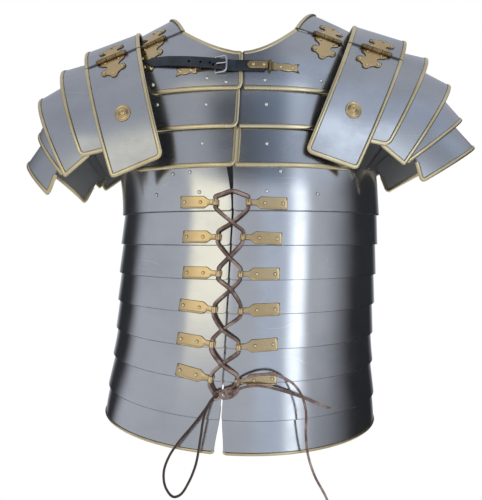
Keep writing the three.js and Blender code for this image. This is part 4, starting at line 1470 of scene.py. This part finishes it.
def guard_hinge_frame(side, facing):
    surface = main_guard(side)
    turn = HINGE_TURN[side] if facing < 0 else math.pi - HINGE_TURN[side]
    spot = surface(turn, HINGE_PLACE, 0.0)
    outward = surface(turn, HINGE_PLACE, 0.001) - spot
    outward /= np.linalg.norm(outward)
    axis = surface(turn, 1.0, 0.0) - surface(turn, 0.0, 0.0)
    width = np.linalg.norm(axis)
    axis /= width
    way = surface(turn + TURN_STEP, HINGE_PLACE, 0.0) - surface(turn - TURN_STEP, HINGE_PLACE, 0.0)
    speed = np.linalg.norm(way) / (2 * TURN_STEP)
    return surface, turn, Vector(spot + outward * KNUCKLE_RADIUS), Vector(axis), width, speed


def guard_lay(side, facing, upper):
    """Lays leaf places on the main guard: x along the hinge line and y away from it."""
    surface, turn, _, _, width, speed = guard_hinge_frame(side, facing)
    way = -facing if upper else facing
    lean = GUARD_LEAF_LEAN[side] * (1 if upper else -1)

    def lay(x, y, height):
        return surface(turn + way * y / speed, HINGE_PLACE + (x + lean * y) / width, height)

    return lay


ROUNDEL_TURN = {1: 0.325, -1: 0.36}
ROUNDEL_PROFILE = [
    (0, -0.0006), (0.0105, -0.0006), (0.0107, 0.0004), (0.0102, 0.0012), (0.0092, 0.0013),
    (0.0085, 0.0008), (0.0080, 0.0008), (0.0060, 0.0016), (0.0054, 0.0021), (0.0046, 0.0021),
    (0.0040, 0.0015), (0.0034, 0.0016), (0.0026, 0.0030), (0.0014, 0.0038), (0, 0.0040),
]
ROUNDEL = new_object("roundel form", spun("roundel form", ROUNDEL_PROFILE, 48))

guard_gap = SPLIT_GAP / GUARD_RADIUS
for side_name, side in SIDES.items():
    main = main_guard(side)
    hinge = HINGE_TURN[side]
    top = strip(main, hinge + guard_gap, math.pi - hinge - guard_gap)
    plate(f"guard_top_{side_name}", top, steps(0, 1, 36), rounded_steps(20), "guard_" + side_name,
          SATIN_STEEL, f"guard_top_plate_{side_name}")
    for w in (0.0, 1.0):
        edging(f"edging_guard_top_{side_name}_{int(w)}", top, *along_border((steps(0, 1, 40), w)),
               "guard_" + side_name)
    top_shapes = []
    for facing_name, facing in FACINGS.items():
        body = f"guard_{facing_name}_{side_name}"
        ends = (0, hinge - guard_gap) if facing < 0 else (math.pi - hinge + guard_gap, math.pi)
        leaf = strip(main, *ends)
        plate(f"guard_{facing_name}_plate_{side_name}", leaf, FINE, FINE, body, SATIN_STEEL,
              f"guard_{facing_name}_leaf_{side_name}")
        hinge_end, free_end = (1.0, 0.0) if facing < 0 else (0.0, 1.0)
        down = np.linspace(hinge_end, free_end, 50)
        legs = [(down, 0.0), (free_end, FINE), (down[::-1], 1.0)]
        edging(f"edging_guard_{facing_name}_{side_name}", leaf, *along_border(*legs), body)
        _, _, centre, axis, _, _ = guard_hinge_frame(side, facing)
        lower = hinge_leaf(guard_lay(side, facing, False), centre, axis, False, body)
        brass_piece(f"hinge_lower_{facing_name}_{side_name}", lower, body)
        top_shapes += hinge_leaf(guard_lay(side, facing, True), centre, axis, True, "guard_" + side_name)
        brass_piece(f"hinge_pin_{facing_name}_{side_name}", pin_heads(centre, axis), "guard_" + side_name,
                    [f"guard_hinge_pin_{facing_name}_{side_name}"])
    brass_piece(f"hinge_upper_{side_name}", top_shapes, "guard_" + side_name)
    roundel_turn = np.array([ROUNDEL_TURN[side]])
    spot = main(roundel_turn, np.array([0.5]), 0.0)[0]
    outward = main(roundel_turn, np.array([0.5]), 0.001)[0] - spot
    rows = [(spot, outward / np.linalg.norm(outward), 1.0)]
    set_fittings(f"roundel_{side_name}", ROUNDEL, rows, FITTING_BRASS, f"guard_front_{side_name}")
    for number, surface in enumerate(lesser_guards(side), 1):
        body = f"lesser_{number}_{side_name}"
        whole = strip(surface, 0, math.pi, outer_corner=LESSER_CORNERS[number - 1])
        rows = np.concatenate([FINE[:10], np.linspace(0.13, 0.87, 60), FINE[-10:]])
        plate(f"lesser_{number}_{side_name}", whole, FINE, rows, body, SATIN_STEEL,
              f"lesser_guard_{number}_{side_name}")
        bound = FINE[FINE > (0.4 if number == 4 else 0.0)]  # the fourth is bound only where it shows
        legs = [(0.0, bound), (rows, 1.0), (1.0, bound[::-1])]
        edging(f"edging_lesser_{number}_{side_name}", whole, *along_border(*legs), body)
print("shoulder guards made")

# %% Collar hinges
COLLAR_HINGE_X = {"left": 0.109, "right": -0.1185}
COLLAR_RADIUS = 0.125
COLLAR_LEAF_LEAN = {1: 0.32, -1: 0.0}
COLLAR_LEAF_WIDTH = 0.93  # the collar's leaves are narrower than the guards'


def collar_lay(middle, facing, upper):
    side = 1 if middle > 0 else -1
    turn = SPLIT_TURN[side] if facing < 0 else math.pi - SPLIT_TURN[side]
    way = -facing if upper else facing
    lean = COLLAR_LEAF_LEAN[side] * (1 if upper else -1)

    def lay(x, y, height):
        place_x = middle + x * COLLAR_LEAF_WIDTH + lean * y
        return over_shoulder(place_x, turn + way * y / COLLAR_RADIUS, height)

    return lay


shapes = []
for side_name, middle in COLLAR_HINGE_X.items():
    for facing in FACINGS.values():
        lay = collar_lay(middle, facing, True)
        ends = lay(np.array([-KNUCKLE_HALF, KNUCKLE_HALF]), np.zeros(2), np.full(2, KNUCKLE_RADIUS))
        centre = Vector(ends.mean(0))
        axis = Vector(ends[1] - ends[0]).normalized()
        shapes += hinge_leaf(lay, centre, axis, True, "root")
        shapes += hinge_leaf(collar_lay(middle, facing, False), centre, axis, False, "root")
        shapes += pin_heads(centre, axis)
brass_piece("collar_hinges", shapes, "root")
print("hinges made")

# %% [markdown]
# ## Chest strap and buckle
# A black leather strap closes the two breastplates. It is a flat band, so it is made from a few rows of
# places along its length: its two edges, a slightly crowned middle, and a pointed tip. The slot for the
# buckle's tongue and the punched holes are cut through it.

# %% Bands across the chest
def band(name, xs, centre, half_at, lift_at, thickness, across, crown):
    """A band on the breastplates. centre, half_at and lift_at vary along x, and crown raises its middle."""

    def surface(u, v, off):
        z = centre(u) + (1 - 2 * v) * half_at(u)
        raised = crown * 4 * v * (1 - v)
        return torso_point(u, z, lift_at(u) + off + np.where(off > 0, raised, 0.0), -1)

    def from_back(u, v, off):
        return surface(u, v, off + thickness)

    return shell_mesh(name, from_back, steps(0, 1, across), np.asarray(xs), thickness)


def cut_with(piece, cutters):
    """Cuts closed forms out of a piece."""
    for number, cutter in enumerate(cutters):
        modifier = piece.modifiers.new(f"cut {number}", "BOOLEAN")
        modifier.operation = "DIFFERENCE"
        modifier.solver = "EXACT"
        modifier.object = cutter
    settle(piece)
    for cutter in cutters:
        bpy.data.objects.remove(cutter)


def peg(x, z, radius):
    """A round cutter square to the chest at x and z."""
    inner = Vector(torso_point(x, z, -PEG_DEPTH, -1))
    outer = Vector(torso_point(x, z, PEG_DEPTH, -1))
    return object_of("peg", rod(inner, outer, radius, 14))


# %% The strap
STRAP_TIP, STRAP_END = -0.126, 0.026
STRAP_HALF = 0.0069
STRAP_THICKNESS = 0.0022
STRAP_HEIGHT = -0.083
STRAP_BEND_X = -0.015  # from here to its tip the strap runs upwards
STRAP_SLOPE = 0.165
SLOT = (-0.0332, -0.0818, 0.0102, 0.0036)  # x, z, length and width
SLOT_LIFT = 0.0013
CUT_DEPTH = 0.03
PEG_DEPTH = 0.02
HOLES = (-0.0665, -0.0520, -0.0405)


def strap_height(x):
    return STRAP_HEIGHT + STRAP_SLOPE * np.maximum(0, STRAP_BEND_X - x)


def strap_lift(x):
    return 0.0004 + 0.0023 * smooth((-x - 0.008) / 0.008) * smooth((x + 0.112) / 0.020)


def strap_half(x):
    return STRAP_HALF * np.minimum(1, 0.10 + (x - STRAP_TIP) / 0.011)


def slot_cutter():
    x, z, length, width = SLOT
    outline = arc(length / 2 - width / 2, 0, width / 2, -90, 90, 8)
    outline += arc(-length / 2 + width / 2, 0, width / 2, 90, 270, 8)
    shape = bmesh.new()
    shape.faces.new([shape.verts.new((a, 0, b)) for a, b in outline])
    made = bmesh.ops.extrude_face_region(shape, geom=shape.faces[:])
    for vert in made["geom"]:
        if isinstance(vert, bmesh.types.BMVert):
            vert.co.y = CUT_DEPTH
    depth = float(torso_point(x, z, 0, -1)[1])
    place = (x, depth - CUT_DEPTH / 2, z + SLOT_LIFT + SHOULDER_TILT * x)
    bmesh.ops.translate(shape, verts=shape.verts, vec=place)
    bmesh.ops.recalc_face_normals(shape, faces=shape.faces)
    return object_of("slot", shape)


tip_steps = STRAP_TIP + np.array([0, 0.001, 0.003, 0.006, 0.009, 0.0105])
strap_columns = np.concatenate([tip_steps, np.linspace(-0.113, STRAP_END, 70)])
strap = new_object(
    "strap", band("strap", strap_columns, strap_height, strap_half, strap_lift, STRAP_THICKNESS, 9, 0.0004)
)
cut_with(strap, [slot_cutter()] + [peg(x, float(strap_height(x)), 0.0016) for x in HOLES])
soften(strap, 0.0004, 50)
finish_piece(strap, "root", BLACK_LEATHER, ["chest_strap"], 40)

# %% [markdown]
# ## The buckle
# The frame is a silver bar bent to a rounded box, with its tongue hung on the strap's side. Both are swept
# along their own line with a round section, as wire is bent.

# %% Buckle frame and tongue
BUCKLE_X, BUCKLE_Z = -0.026, -0.0818
BUCKLE_WIDTH, BUCKLE_HEIGHT = 0.0175, 0.022
BUCKLE_LIFT = (0.00025, 0.0055)
BAR_RADIUS = 0.00115


def buckle_frame_matrix():
    """Local places of the buckle: x along it from its bar, y up and z outwards."""
    rise = math.atan2(BUCKLE_LIFT[1] - BUCKLE_LIFT[0], BUCKLE_WIDTH - 0.0022)
    bar_x = BUCKLE_X - BUCKLE_WIDTH / 2
    bar = Vector(torso_point(bar_x, BUCKLE_Z, BUCKLE_LIFT[0], -1))
    far = Vector(torso_point(bar_x + BUCKLE_WIDTH, BUCKLE_Z, BUCKLE_LIFT[0], -1))
    top = Vector(torso_point(bar_x, BUCKLE_Z + 0.008, 0, -1))
    low = Vector(torso_point(bar_x, BUCKLE_Z - 0.008, 0, -1))
    up = (top - low).normalized()
    along = (far - bar).normalized()
    along.rotate(Quaternion(up, -rise))
    outward = along.cross(up).normalized()
    across = outward.cross(along)
    return bar, along, across, outward


def buckle_places(rows):
    bar, along, across, outward = buckle_frame_matrix()
    return [bar + along * x + across * y + outward * z for x, y, z in rows]


def swept(rows, radius, closed=False, count=14):
    """A round section swept along a row of places, as a closed mesh."""
    rows = [Vector(row) for row in rows]
    shape = bmesh.new()
    rings = []
    side = None
    total = len(rows)
    for k, row in enumerate(rows):
        before = rows[k - 1] if closed or k else rows[0]
        after = rows[(k + 1) % total] if closed or k < total - 1 else rows[-1]
        along = (after - before).normalized()
        side = along.orthogonal() if side is None else side - along * side.dot(along)
        side.normalize()
        up = along.cross(side)
        width = radius[k] if isinstance(radius, (list, np.ndarray)) else radius
        ring = []
        for j in range(count):
            turn = 2 * math.pi * j / count
            ring.append(shape.verts.new(row + (side * math.cos(turn) + up * math.sin(turn)) * width))
        rings.append(ring)
    pairs = list(zip(rings, rings[1:])) + ([(rings[-1], rings[0])] if closed else [])
    for a, b in pairs:
        for j in range(count):
            shape.faces.new((a[j], a[(j + 1) % count], b[(j + 1) % count], b[j]))
    if not closed:
        shape.faces.new(rings[0])
        shape.faces.new(rings[-1])
    bmesh.ops.recalc_face_normals(shape, faces=shape.faces)
    return shape


def frame_line():
    """The middle line of the frame: a box with round corners on its far side."""
    half = BUCKLE_HEIGHT / 2 - BAR_RADIUS
    far = BUCKLE_WIDTH - BAR_RADIUS
    near = BAR_RADIUS
    wide, tight = 0.0042, 0.0012  # the radii of the corners away from the strap's bar and at it
    outline = arc(far - wide, -half + wide, wide, -90, 0, 8)
    outline += arc(far - wide, half - wide, wide, 0, 90, 8)
    outline += arc(near + tight, half - tight, tight, 90, 180, 5)
    outline += arc(near + tight, -half + tight, tight, 180, 270, 5)
    return [(x, y, 0.0009) for x, y in outline]


frame_shape = swept(buckle_places(frame_line()), BAR_RADIUS, True)
frame_piece = new_object("buckle_bar_frame", joined("buckle_bar_frame", [frame_shape]))
finish_piece(frame_piece, "root", SILVER, ["buckle_frame"], 60)

tongue_rows = [(0.0038, 0, 0.0005), (0.0038, 0, 0.0028), (0.0045, 0, 0.0041), (0.0065, 0, 0.0043),
               (0.0100, 0, 0.0037), (0.0140, 0, 0.0030), (0.0168, 0, 0.0026)]
tongue_line = curve_through(tongue_rows, 6)
tongue_radius = np.interp(np.linspace(0, 1, len(tongue_line)), [0, 0.6, 1], [0.0010, 0.00095, 0.0007])
tongue_shape = swept(buckle_places(tongue_line), tongue_radius)
tongue_piece = new_object("tongue", joined("tongue", [tongue_shape]))
finish_piece(tongue_piece, "buckle_tongue", SILVER, ["buckle_tongue"], 60)

# %% [markdown]
# ## Strap fittings
# On the wearer's left the strap is held by a rounded leaf, hinged to a leaf with a fish-tail end. On the
# right a second fish-tail leaf holds the buckle's bar by two prongs. They are cut from sheet brass, so
# each is an outline laid on the breastplate.

# %% Fitting outlines
def fish_tail(start, end, half, notch=2.6):
    """A leaf along x from start to end (mm), waisted, with a fork of two points at its end."""
    way = 1 if end > start else -1
    length = abs(end - start)
    upper = [(0.0, half * 0.95), (0.10, half), (0.30, half * 0.66), (0.48, half * 0.92), (0.60, half * 0.98),
             (0.74, half * 0.72), (0.88, half * 0.92), (1.0, half * 1.08)]
    top = [(start + way * length * share, y) for share, y in upper]
    tail = [(end - way * 1.6, half * 0.55), (end - way * notch, 0.0), (end - way * 1.6, -half * 0.55)]
    return top + tail + [(x, -y) for x, y in reversed(top)]


def chest_lay(middle_x, middle_z, turn, lift=0.0):
    def lay(x, y, height):
        across = x * math.cos(turn) - y * math.sin(turn)
        up = x * math.sin(turn) + y * math.cos(turn)
        return torso_point(middle_x + across, middle_z + up, height + lift, -1)

    return lay


def fitting_rivets(lay, xs, size=0.85, lift=0.0008):
    for x in xs:
        rivet_on("root", lay, x / 1000, 0, size, "rivet_brass", lift)


FITTING_HINGE_X = 0.0322
FITTING_HINGE_LIFT = 0.0019
LEFT_HEIGHT = -0.082
left_lay = chest_lay(0.0, LEFT_HEIGHT, -0.03)
leaf_lay = chest_lay(0.0, LEFT_HEIGHT, 0, 0.0028)  # this leaf lies on the strap
leaf = [(29.5, 4.9)] + arc(9.4, 0, 4.9, 90, 270, 12) + [(29.5, -4.9)]
shapes = [laid_outline(fish_tail(34.5, 69, 5.2), 1.2, left_lay, 3.0, 0.1)]
shapes.append(laid_outline(leaf, 1.2, leaf_lay, 3.0, 0.1))
# The knuckle, and the pin that stands out at both of its ends.
for half, radius, count in ((0.0066, 0.0021, 18), (0.0084, 0.0010, 12)):
    ends = left_lay(np.full(2, FITTING_HINGE_X), np.array([-half, half]), np.full(2, FITTING_HINGE_LIFT))
    shapes.append(rod(ends[0], ends[1], radius, count))
fitting_rivets(leaf_lay, (12.0, 25.0), lift=0.0009)
fitting_rivets(left_lay, (45.5, 60.5))
brass_piece("fitting_left", shapes, "root", ["strap_fitting_left"])

right_lay = chest_lay(-0.084, -0.0862, 0.06)
shapes = [laid_outline(fish_tail(27, 0, 5.4), 1.2, right_lay, 3.0, 0.1)]
for y in (-2.6, 2.6):
    prong = [(26, y - 1.1), (46.5, y - 1.1), (46.5, y + 1.1), (26, y + 1.1)]
    shapes.append(laid_outline(prong, 1.1, right_lay, 4.0, -0.05))
fitting_rivets(right_lay, (6.5, 20.0))
brass_piece("fitting_right", shapes, "root", ["strap_fitting_right"])

keeper_lay = chest_lay(-0.114, -0.0765, -0.42)
shapes = [laid_outline(fish_tail(0, -17, 4.0, 2.0), 1.1, keeper_lay, 3.0, 0.1)]
fitting_rivets(keeper_lay, (-13.0, -3.0), size=0.9)
brass_piece("fitting_small", shapes, "root")
print("strap and fittings made")

# %% [markdown]
# ## Lacing
# One thong starts at the lowest pair of tie-loops, crosses over itself from side to side up to the top
# pair, goes over, and comes down again the other way. Each half is a smooth curve through the eyes and the
# crossings, and where the halves cross, one is lifted over the other.

# %% Lacing paths
LACE_HALF_WIDTH, LACE_HALF_THICKNESS = 0.0022, 0.0009
LACE_LIFT = EYE_HEIGHT + 0.0002
OVER_LIFT = 0.0062
UNDER_LIFT = 0.0034
# How far each crossing lies from the seam towards the wearer's left, and its height, from the top down.
FRONT_CROSSINGS = ((0.9, -272.6), (-0.6, -313.2), (3.4, -351.8), (-3.5, -398.8), (-1.7, -440.0))
LACE_TOP = -0.2355


def eye_place(number, side, facing, up):
    _, lay = loop_places(number, side, facing)
    return lay(np.zeros(1), np.array([up]), np.array([LACE_LIFT]))[0]


def crossing_place(number, facing, lift):
    """Between the eyes of two hoops. On the back the lace crosses at the seam itself."""
    shift, z = np.array(FRONT_CROSSINGS[number - 1]) / 1000
    return girdle_point(girdle_angle(1, facing, shift if facing < 0 else 0.0, z), z, lift)


def lace_half(first_side, facing, over_first):
    """From the lowest eye up to the top one: five places at each eye keep the thong upright in it."""
    rows = []
    for number in range(6, 0, -1):
        side = first_side if number % 2 == 0 else -first_side
        rows += [eye_place(number, side, facing, up) for up in (-0.0065, -0.0035, 0.0, 0.0035, 0.0065)]
        if number > 1:
            over = over_first if number % 2 == 0 else not over_first
            rows.append(crossing_place(number - 1, facing, OVER_LIFT if over else UNDER_LIFT))
    return rows


def lace_path(facing):
    left, right = lace_half(1, facing, True), lace_half(-1, facing, False)
    top = [girdle_point(girdle_angle(1, facing, shift, z), z, 0.0040)
           for shift, z in ((-0.011, LACE_TOP - 0.0035), (0.001, LACE_TOP), (0.012, LACE_TOP - 0.0035))]
    if facing > 0:
        top = top[::-1]
    start = [girdle_point(girdle_angle(side, facing, from_seam, z), z, 0.0050)
             for side, from_seam, z in ((1, 0.006, -0.472), (-1, 0.0078, -0.4760))]
    return [start[0]] + left + top[::-1 if left[-1][0] > top[0][0] else 1] + right[::-1] + [start[1]]


def flattened(wave):
    """A wave with fuller shoulders, which makes a rounded box of a circle."""
    return np.sign(wave) * np.abs(wave) ** 0.7


def lace_section():
    """The thong is flat: x is outward from the armour and y across the thong."""
    count = 14
    turns = 2 * math.pi * np.arange(count) / count
    wide = LACE_HALF_WIDTH * flattened(np.sin(turns))
    high = LACE_HALF_THICKNESS * flattened(np.cos(turns))
    edges = [(i, (i + 1) % count) for i in range(count)]
    mesh = mesh_of("lace section", np.stack([high, wide, 0 * high], -1), edges=edges)
    # rim grows across the thong from one edge, and the finish paints that edge darker as shade.
    store(mesh, "rim", LACE_HALF_WIDTH + wide)
    return new_object("lace section", mesh)


def flat_thong(name, path):
    """The edging's tree also sweeps a flat thong, with its flat side turned outwards."""
    line = mesh_of(name, path, edges=row_edges(len(path)))
    outward = np.array(path) / (HALF_WIDTH**2, HALF_DEPTH**2, math.inf)
    outward /= np.linalg.norm(outward, axis=1, keepdims=True)
    store(line, "outward", outward, "FLOAT_VECTOR")
    piece = run_tree(EDGING, name, line, Section=LACE_SECTION, Width=1.0, Material=BROWN_LEATHER)
    face_out(piece.data)
    return piece


LACE_SECTION = lace_section()
for facing_name, facing in FACINGS.items():
    path = curve_through(lace_path(facing), 7)
    lace = flat_thong("lacing_" + facing_name, path)
    finish_piece(lace, "root", stands_for=[facing_name + "_lacing"], crease=60)
    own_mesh(lace)
    print("lacing", facing_name, round(path_length(path), 3), "m")

# %% [markdown]
# ## Knot
# Below the lowest eyes the two ends are tied. A knot in a thong is a few close turns of the same thong, so
# it is four small loops round the ends, each a closed sweep.

# %% Knot
KNOT_PLACE = np.array([-0.0165, -0.1565, -0.4715])


def knot_turn(centre, axis_turn, wide, high, lean):
    rows = []
    count = 28
    for k in range(count):
        turn = 2 * math.pi * k / count
        x, z = wide * math.cos(turn), high * math.sin(turn)
        across = x * math.cos(axis_turn) - z * math.sin(axis_turn)
        up = x * math.sin(axis_turn) + z * math.cos(axis_turn)
        rows.append(centre + np.array([across, lean * math.sin(turn + 0.6), up]))
    return swept(rows, THONG_RADIUS, True, 10)


knot = new_object("knot", joined("knot", [
    knot_turn(KNOT_PLACE, 0.33, 0.0105, 0.0046, 0.0030),
    knot_turn(KNOT_PLACE + (0.002, -0.0012, 0.0008), 0.38, 0.0068, 0.0024, -0.0030),
    knot_turn(KNOT_PLACE + (-0.006, -0.0005, -0.0012), 1.15, 0.0046, 0.0032, 0.0028),
    knot_turn(KNOT_PLACE + (-0.0145, 0.0, -0.0030), 1.0, 0.0044, 0.0030, 0.0026),
]))
finish_piece(knot, "girdle_6", BROWN_LEATHER, ["lace_bow"], 60)

# %% Leather straps inside the girdle
LEATHER_TOP, LEATHER_END = -0.198, -0.539
LEATHER_FROM_SEAM = 0.095
LEATHER_HALF = 0.013
LEATHER_THICKNESS = 0.002
LEATHER_CLEARANCE = 0.0016  # between a hoop and a strap inside it
LEATHER_OFF = -LAP - STEEL - LEATHER_CLEARANCE


def inner_strap(side, facing):
    def surface(u, v, off):
        z = mix(LEATHER_TOP, LEATHER_END, v)
        from_seam = LEATHER_FROM_SEAM + mix(-LEATHER_HALF, LEATHER_HALF, u)
        return girdle_point(girdle_angle(side, facing, from_seam, z), z, off + LEATHER_OFF)

    return surface


for side_name, side in SIDES.items():
    for facing_name, facing in FACINGS.items():
        name = f"{facing_name}_{side_name}"
        mesh = shell_mesh("inner_strap_" + name, inner_strap(side, facing), steps(0, 1, 60), steps(0, 1, 7),
                          LEATHER_THICKNESS)
        inner = new_object("inner_strap_" + name, mesh)
        soften(inner, 0.0004, 50)
        finish_piece(inner, "root", STRAP_LEATHER, ["girdle_leather_" + name], 40)
        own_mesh(inner)
print("lacing, knot and inner straps made")

# %% [markdown]
# ## Plain rivets
# Steel rivets hold the hidden leather straps and stiffeners to the plates. Their places on the front are
# listed, and the back has a like set.

# %% Rivet places
# x and height on the chest, in millimetres. The back has the same ones, mirrored.
CHEST_RIVETS = [(-113.5, -98.7), (-44.2, -96.8), (-21.0, -102.6), (26.1, -100.1), (96.5, -96.3),
                (-45.4, -128.7), (-49.9, -176.7), (27.9, -129.3), (28.2, -178.2), (-108.0, -124.0)]
# Distance from the seam and height on the first hoop, in millimetres.
GIRDLE_RIVETS = {"left": [(60.9, -211.6), (41.7, -235.8), (106.3, -238.2)],
                 "right": [(76.3, -213.0), (51.7, -211.6), (105.3, -237.8), (40.5, -236.3)]}


def chest_tuck(z):
    """How far in the plates lie at a height on the chest."""
    if z > BREAST_BOTTOM:
        return 0.0
    bottom = CHEST_BOTTOMS["middle"] if z > CHEST_BOTTOMS["middle"] else CHEST_BOTTOMS["lower"]
    return -LAP * (z - bottom) / CHEST_HEIGHT


for facing in FACINGS.values():
    for x, z in CHEST_RIVETS:
        place_x = (x if facing < 0 else -x) / 1000

        def on_chest(a, b, off, facing=facing):
            return torso_point(a, b, off + chest_tuck(float(b[0])), facing)

        rivet_on("root", on_chest, place_x, z / 1000)
    for side_name, side in SIDES.items():
        for from_seam, z in GIRDLE_RIVETS[side_name]:

            def on_hoop(a, b, off, side=side, facing=facing):
                return girdle_point(girdle_angle(side, facing, a, b), b, off + hoop_tuck(1, b))

            rivet_on("root", on_hoop, from_seam / 1000, z / 1000)

RIVET_KINDS = {"rivet_metal": (RIVET_METAL, "polished_steel"), "rivet_brass": (RIVET_BRASS, "brass")}
for (body, kind), rows in RIVETS.items():
    material, slot = RIVET_KINDS[kind]
    set_fittings(f"rivets_{kind}_{body}", RIVET_HEAD, rows, material, body)
print("rivets:", sum(len(rows) for rows in RIVETS.values()))

# %% [markdown]
# ## Stage and light
# Polished steel shows what stands round it, so the studio is built as its reflections need. Round the
# object stands a wall that glows softly: grey, with a warm window on the left, a narrow bright strip on
# the right, and dark at both sides, which gives the hoops the dark bands that make steel read as steel.
# The camera doesn't see the wall. Behind the object it sees only white.

# %% Floor, wall and ceiling
FLOOR_HEIGHT = -1.45
FLOOR_HALF = 1.2
WALL_RADIUS = 2.2
WALL_TOP = 1.7


def flat_material(name, colour):
    material, _, shader = new_material(name, 0.0, Roughness=0.9)
    shader.inputs["Base Color"].default_value = (*colour, 1)
    return material


def glowing_material(name):
    """It glows in the colour that is stored on its own points."""
    material, tree, shader = new_material(name, 0.0, Roughness=1.0, Emission_Strength=1.0)
    shader.inputs["Base Color"].default_value = (0, 0, 0, 1)
    paint = add_node(tree, "ShaderNodeAttribute", attribute_name="paint")
    tree.links.new(paint.outputs["Color"], shader.inputs["Emission Color"])
    return material


def hump(value, middle, half, edge):
    """One within half of the middle, zero further off, with soft edges."""
    return 1 - smooth((np.abs(value - middle) - half) / edge)


def wall_colour(azimuth, height):
    """How bright the wall is. azimuth is in degrees from straight ahead, and grows to the wearer's left."""
    low = smooth((-0.38 - height) / 0.75)
    high = smooth((height - 0.35) / 0.5)
    grey = np.array([0.47, 0.49, 0.54]) * np.ones(azimuth.shape + (1,))
    right_fall = smooth((azimuth - 53) / 42) * (1 - smooth((azimuth - 132) / 24))
    left_fall = smooth((-azimuth - 90 - 14 * low) / 20) * (1 - smooth((-azimuth - 132) / 24))
    shade = (1 - 0.95 * right_fall * (1 - high)) * (1 - 0.95 * left_fall * (1 - high))
    shade = shade * (1 - 0.40 * low * smooth((azimuth - 15) / 45))
    dim = hump(azimuth, 4, 20, 14) * smooth((height - 0.55) / 0.3)  # the middle of the collar shows this
    grey = grey * (shade * (1 - 0.8 * dim))[..., None]
    window = hump(azimuth, -28.5, 12, 6) * (1 - smooth((height - 0.50) / 0.2))
    window = window * smooth((height + 0.70) / 0.5)
    strip = hump(azimuth, 36, 1, 9) * (1 - 0.2 * low) * (1 - 0.85 * smooth((height - 0.54) / 0.2))
    wash = hump(azimuth, 19, 6, 10) * (1 - high)
    cool = hump(azimuth, 52, 34, 25) * high
    grey += window[..., None] * np.array([0.68, 0.61, 0.38])
    grey += strip[..., None] * np.array([1.15, 1.25, 1.35])
    grey += wash[..., None] * np.array([0.05, 0.09, 0.15])
    grey += cool[..., None] * np.array([0.08, 0.12, 0.18])
    return grey


def ceiling_colour(across, along):
    """It is darker in front of the armour, which the middle of the collar shows."""
    dark = hump(across, 0.12, 0.30, 0.55) * hump(along, -1.5, 0.45, 0.4)
    return 0.52 * (1 - 0.80 * dark)[..., None] * np.array([0.97, 1.0, 1.08])


def stage_piece(name, points, faces, material, colours=None):
    mesh = mesh_of(name, points, faces)
    if colours is not None:
        store(mesh, "paint", colours, "FLOAT_VECTOR")
    piece = new_object(name, mesh)
    piece.data.materials.append(material)
    return piece


def square(half, height):
    return [(-half, -half, height), (half, -half, height), (half, half, height), (-half, half, height)]


stage_piece("floor", square(FLOOR_HALF, FLOOR_HEIGHT), [range(4)], flat_material("floor", (0.86, 0.86, 0.86)))
glow = glowing_material("studio_glow")
azimuths, heights = np.meshgrid(steps(-180, 180, 241), steps(FLOOR_HEIGHT - 0.2, WALL_TOP, 24))
turns = np.radians(azimuths)
wall_points = np.stack([WALL_RADIUS * np.sin(turns), -WALL_RADIUS * np.cos(turns), heights], -1)
wall_faces = grid_faces(azimuths.shape)
wall = stage_piece("wall", wall_points.reshape(-1, 3), wall_faces, glow, wall_colour(azimuths, heights))
across, along = np.meshgrid(steps(-WALL_RADIUS, WALL_RADIUS, 45), steps(-WALL_RADIUS, WALL_RADIUS, 45))
ceiling_points = np.stack([across, along, np.full(across.shape, WALL_TOP)], -1).reshape(-1, 3)
ceiling_faces = grid_faces(across.shape)
ceiling = stage_piece("ceiling", ceiling_points, ceiling_faces, glow, ceiling_colour(across, along))
for piece in (wall, ceiling):
    piece.visible_camera = False
    piece.visible_shadow = False

# %% World
world = bpy.data.worlds.new("room")
bpy.context.scene.world = world
world.use_nodes = True
tree = world.node_tree
tree.nodes.clear()
rays = tree.nodes.new("ShaderNodeLightPath")
seen = math_node(tree, "ADD", rays.outputs["Is Camera Ray"], rays.outputs["Is Glossy Ray"])
seen = math_node(tree, "ADD", seen, rays.outputs["Is Transmission Ray"], clamp=True)
colour = between(tree, seen, (0.60, 0.62, 0.66), (1, 1, 1))
backdrop = add_node(tree, "ShaderNodeBackground", {"Color": colour, "Strength": 1.0})
end = tree.nodes.new("ShaderNodeOutputWorld")
tree.links.new(backdrop.outputs["Background"], end.inputs["Surface"])
bpy.context.scene.view_settings.view_transform = "Standard"


# %% Lamps
def soft_lamp(name, place, size, radiance, colour=(1, 1, 1)):
    """A square lamp of this size, aimed at the armour, as bright to look at as radiance says."""
    data = bpy.data.lights.new(name, "AREA")
    data.shape = "RECTANGLE"
    data.size, data.size_y = size
    data.energy = radiance * math.pi * size[0] * size[1]
    data.color = colour
    lamp = bpy.data.objects.new(name, data)
    lamp.location = place
    aim = Vector((0, 0, -0.30)) - Vector(place)
    lamp.rotation_euler = aim.to_track_quat("-Z", "Y").to_euler()
    bpy.context.scene.collection.objects.link(lamp)
    return lamp


key = soft_lamp("key", (-0.7, -1.5, 1.2), (0.35, 0.35), 5.0)
fill = soft_lamp("fill", (0.9, -1.2, 1.5), (1.2, 0.8), 1.2, (0.92, 0.96, 1.0))
for lamp in (key, fill):
    lamp.visible_glossy = False
print("stage ready")

# %% Finish
for form in (EDGING_SECTION, LACE_SECTION, RIVET_HEAD, ROUNDEL):
    bpy.data.objects.remove(form)
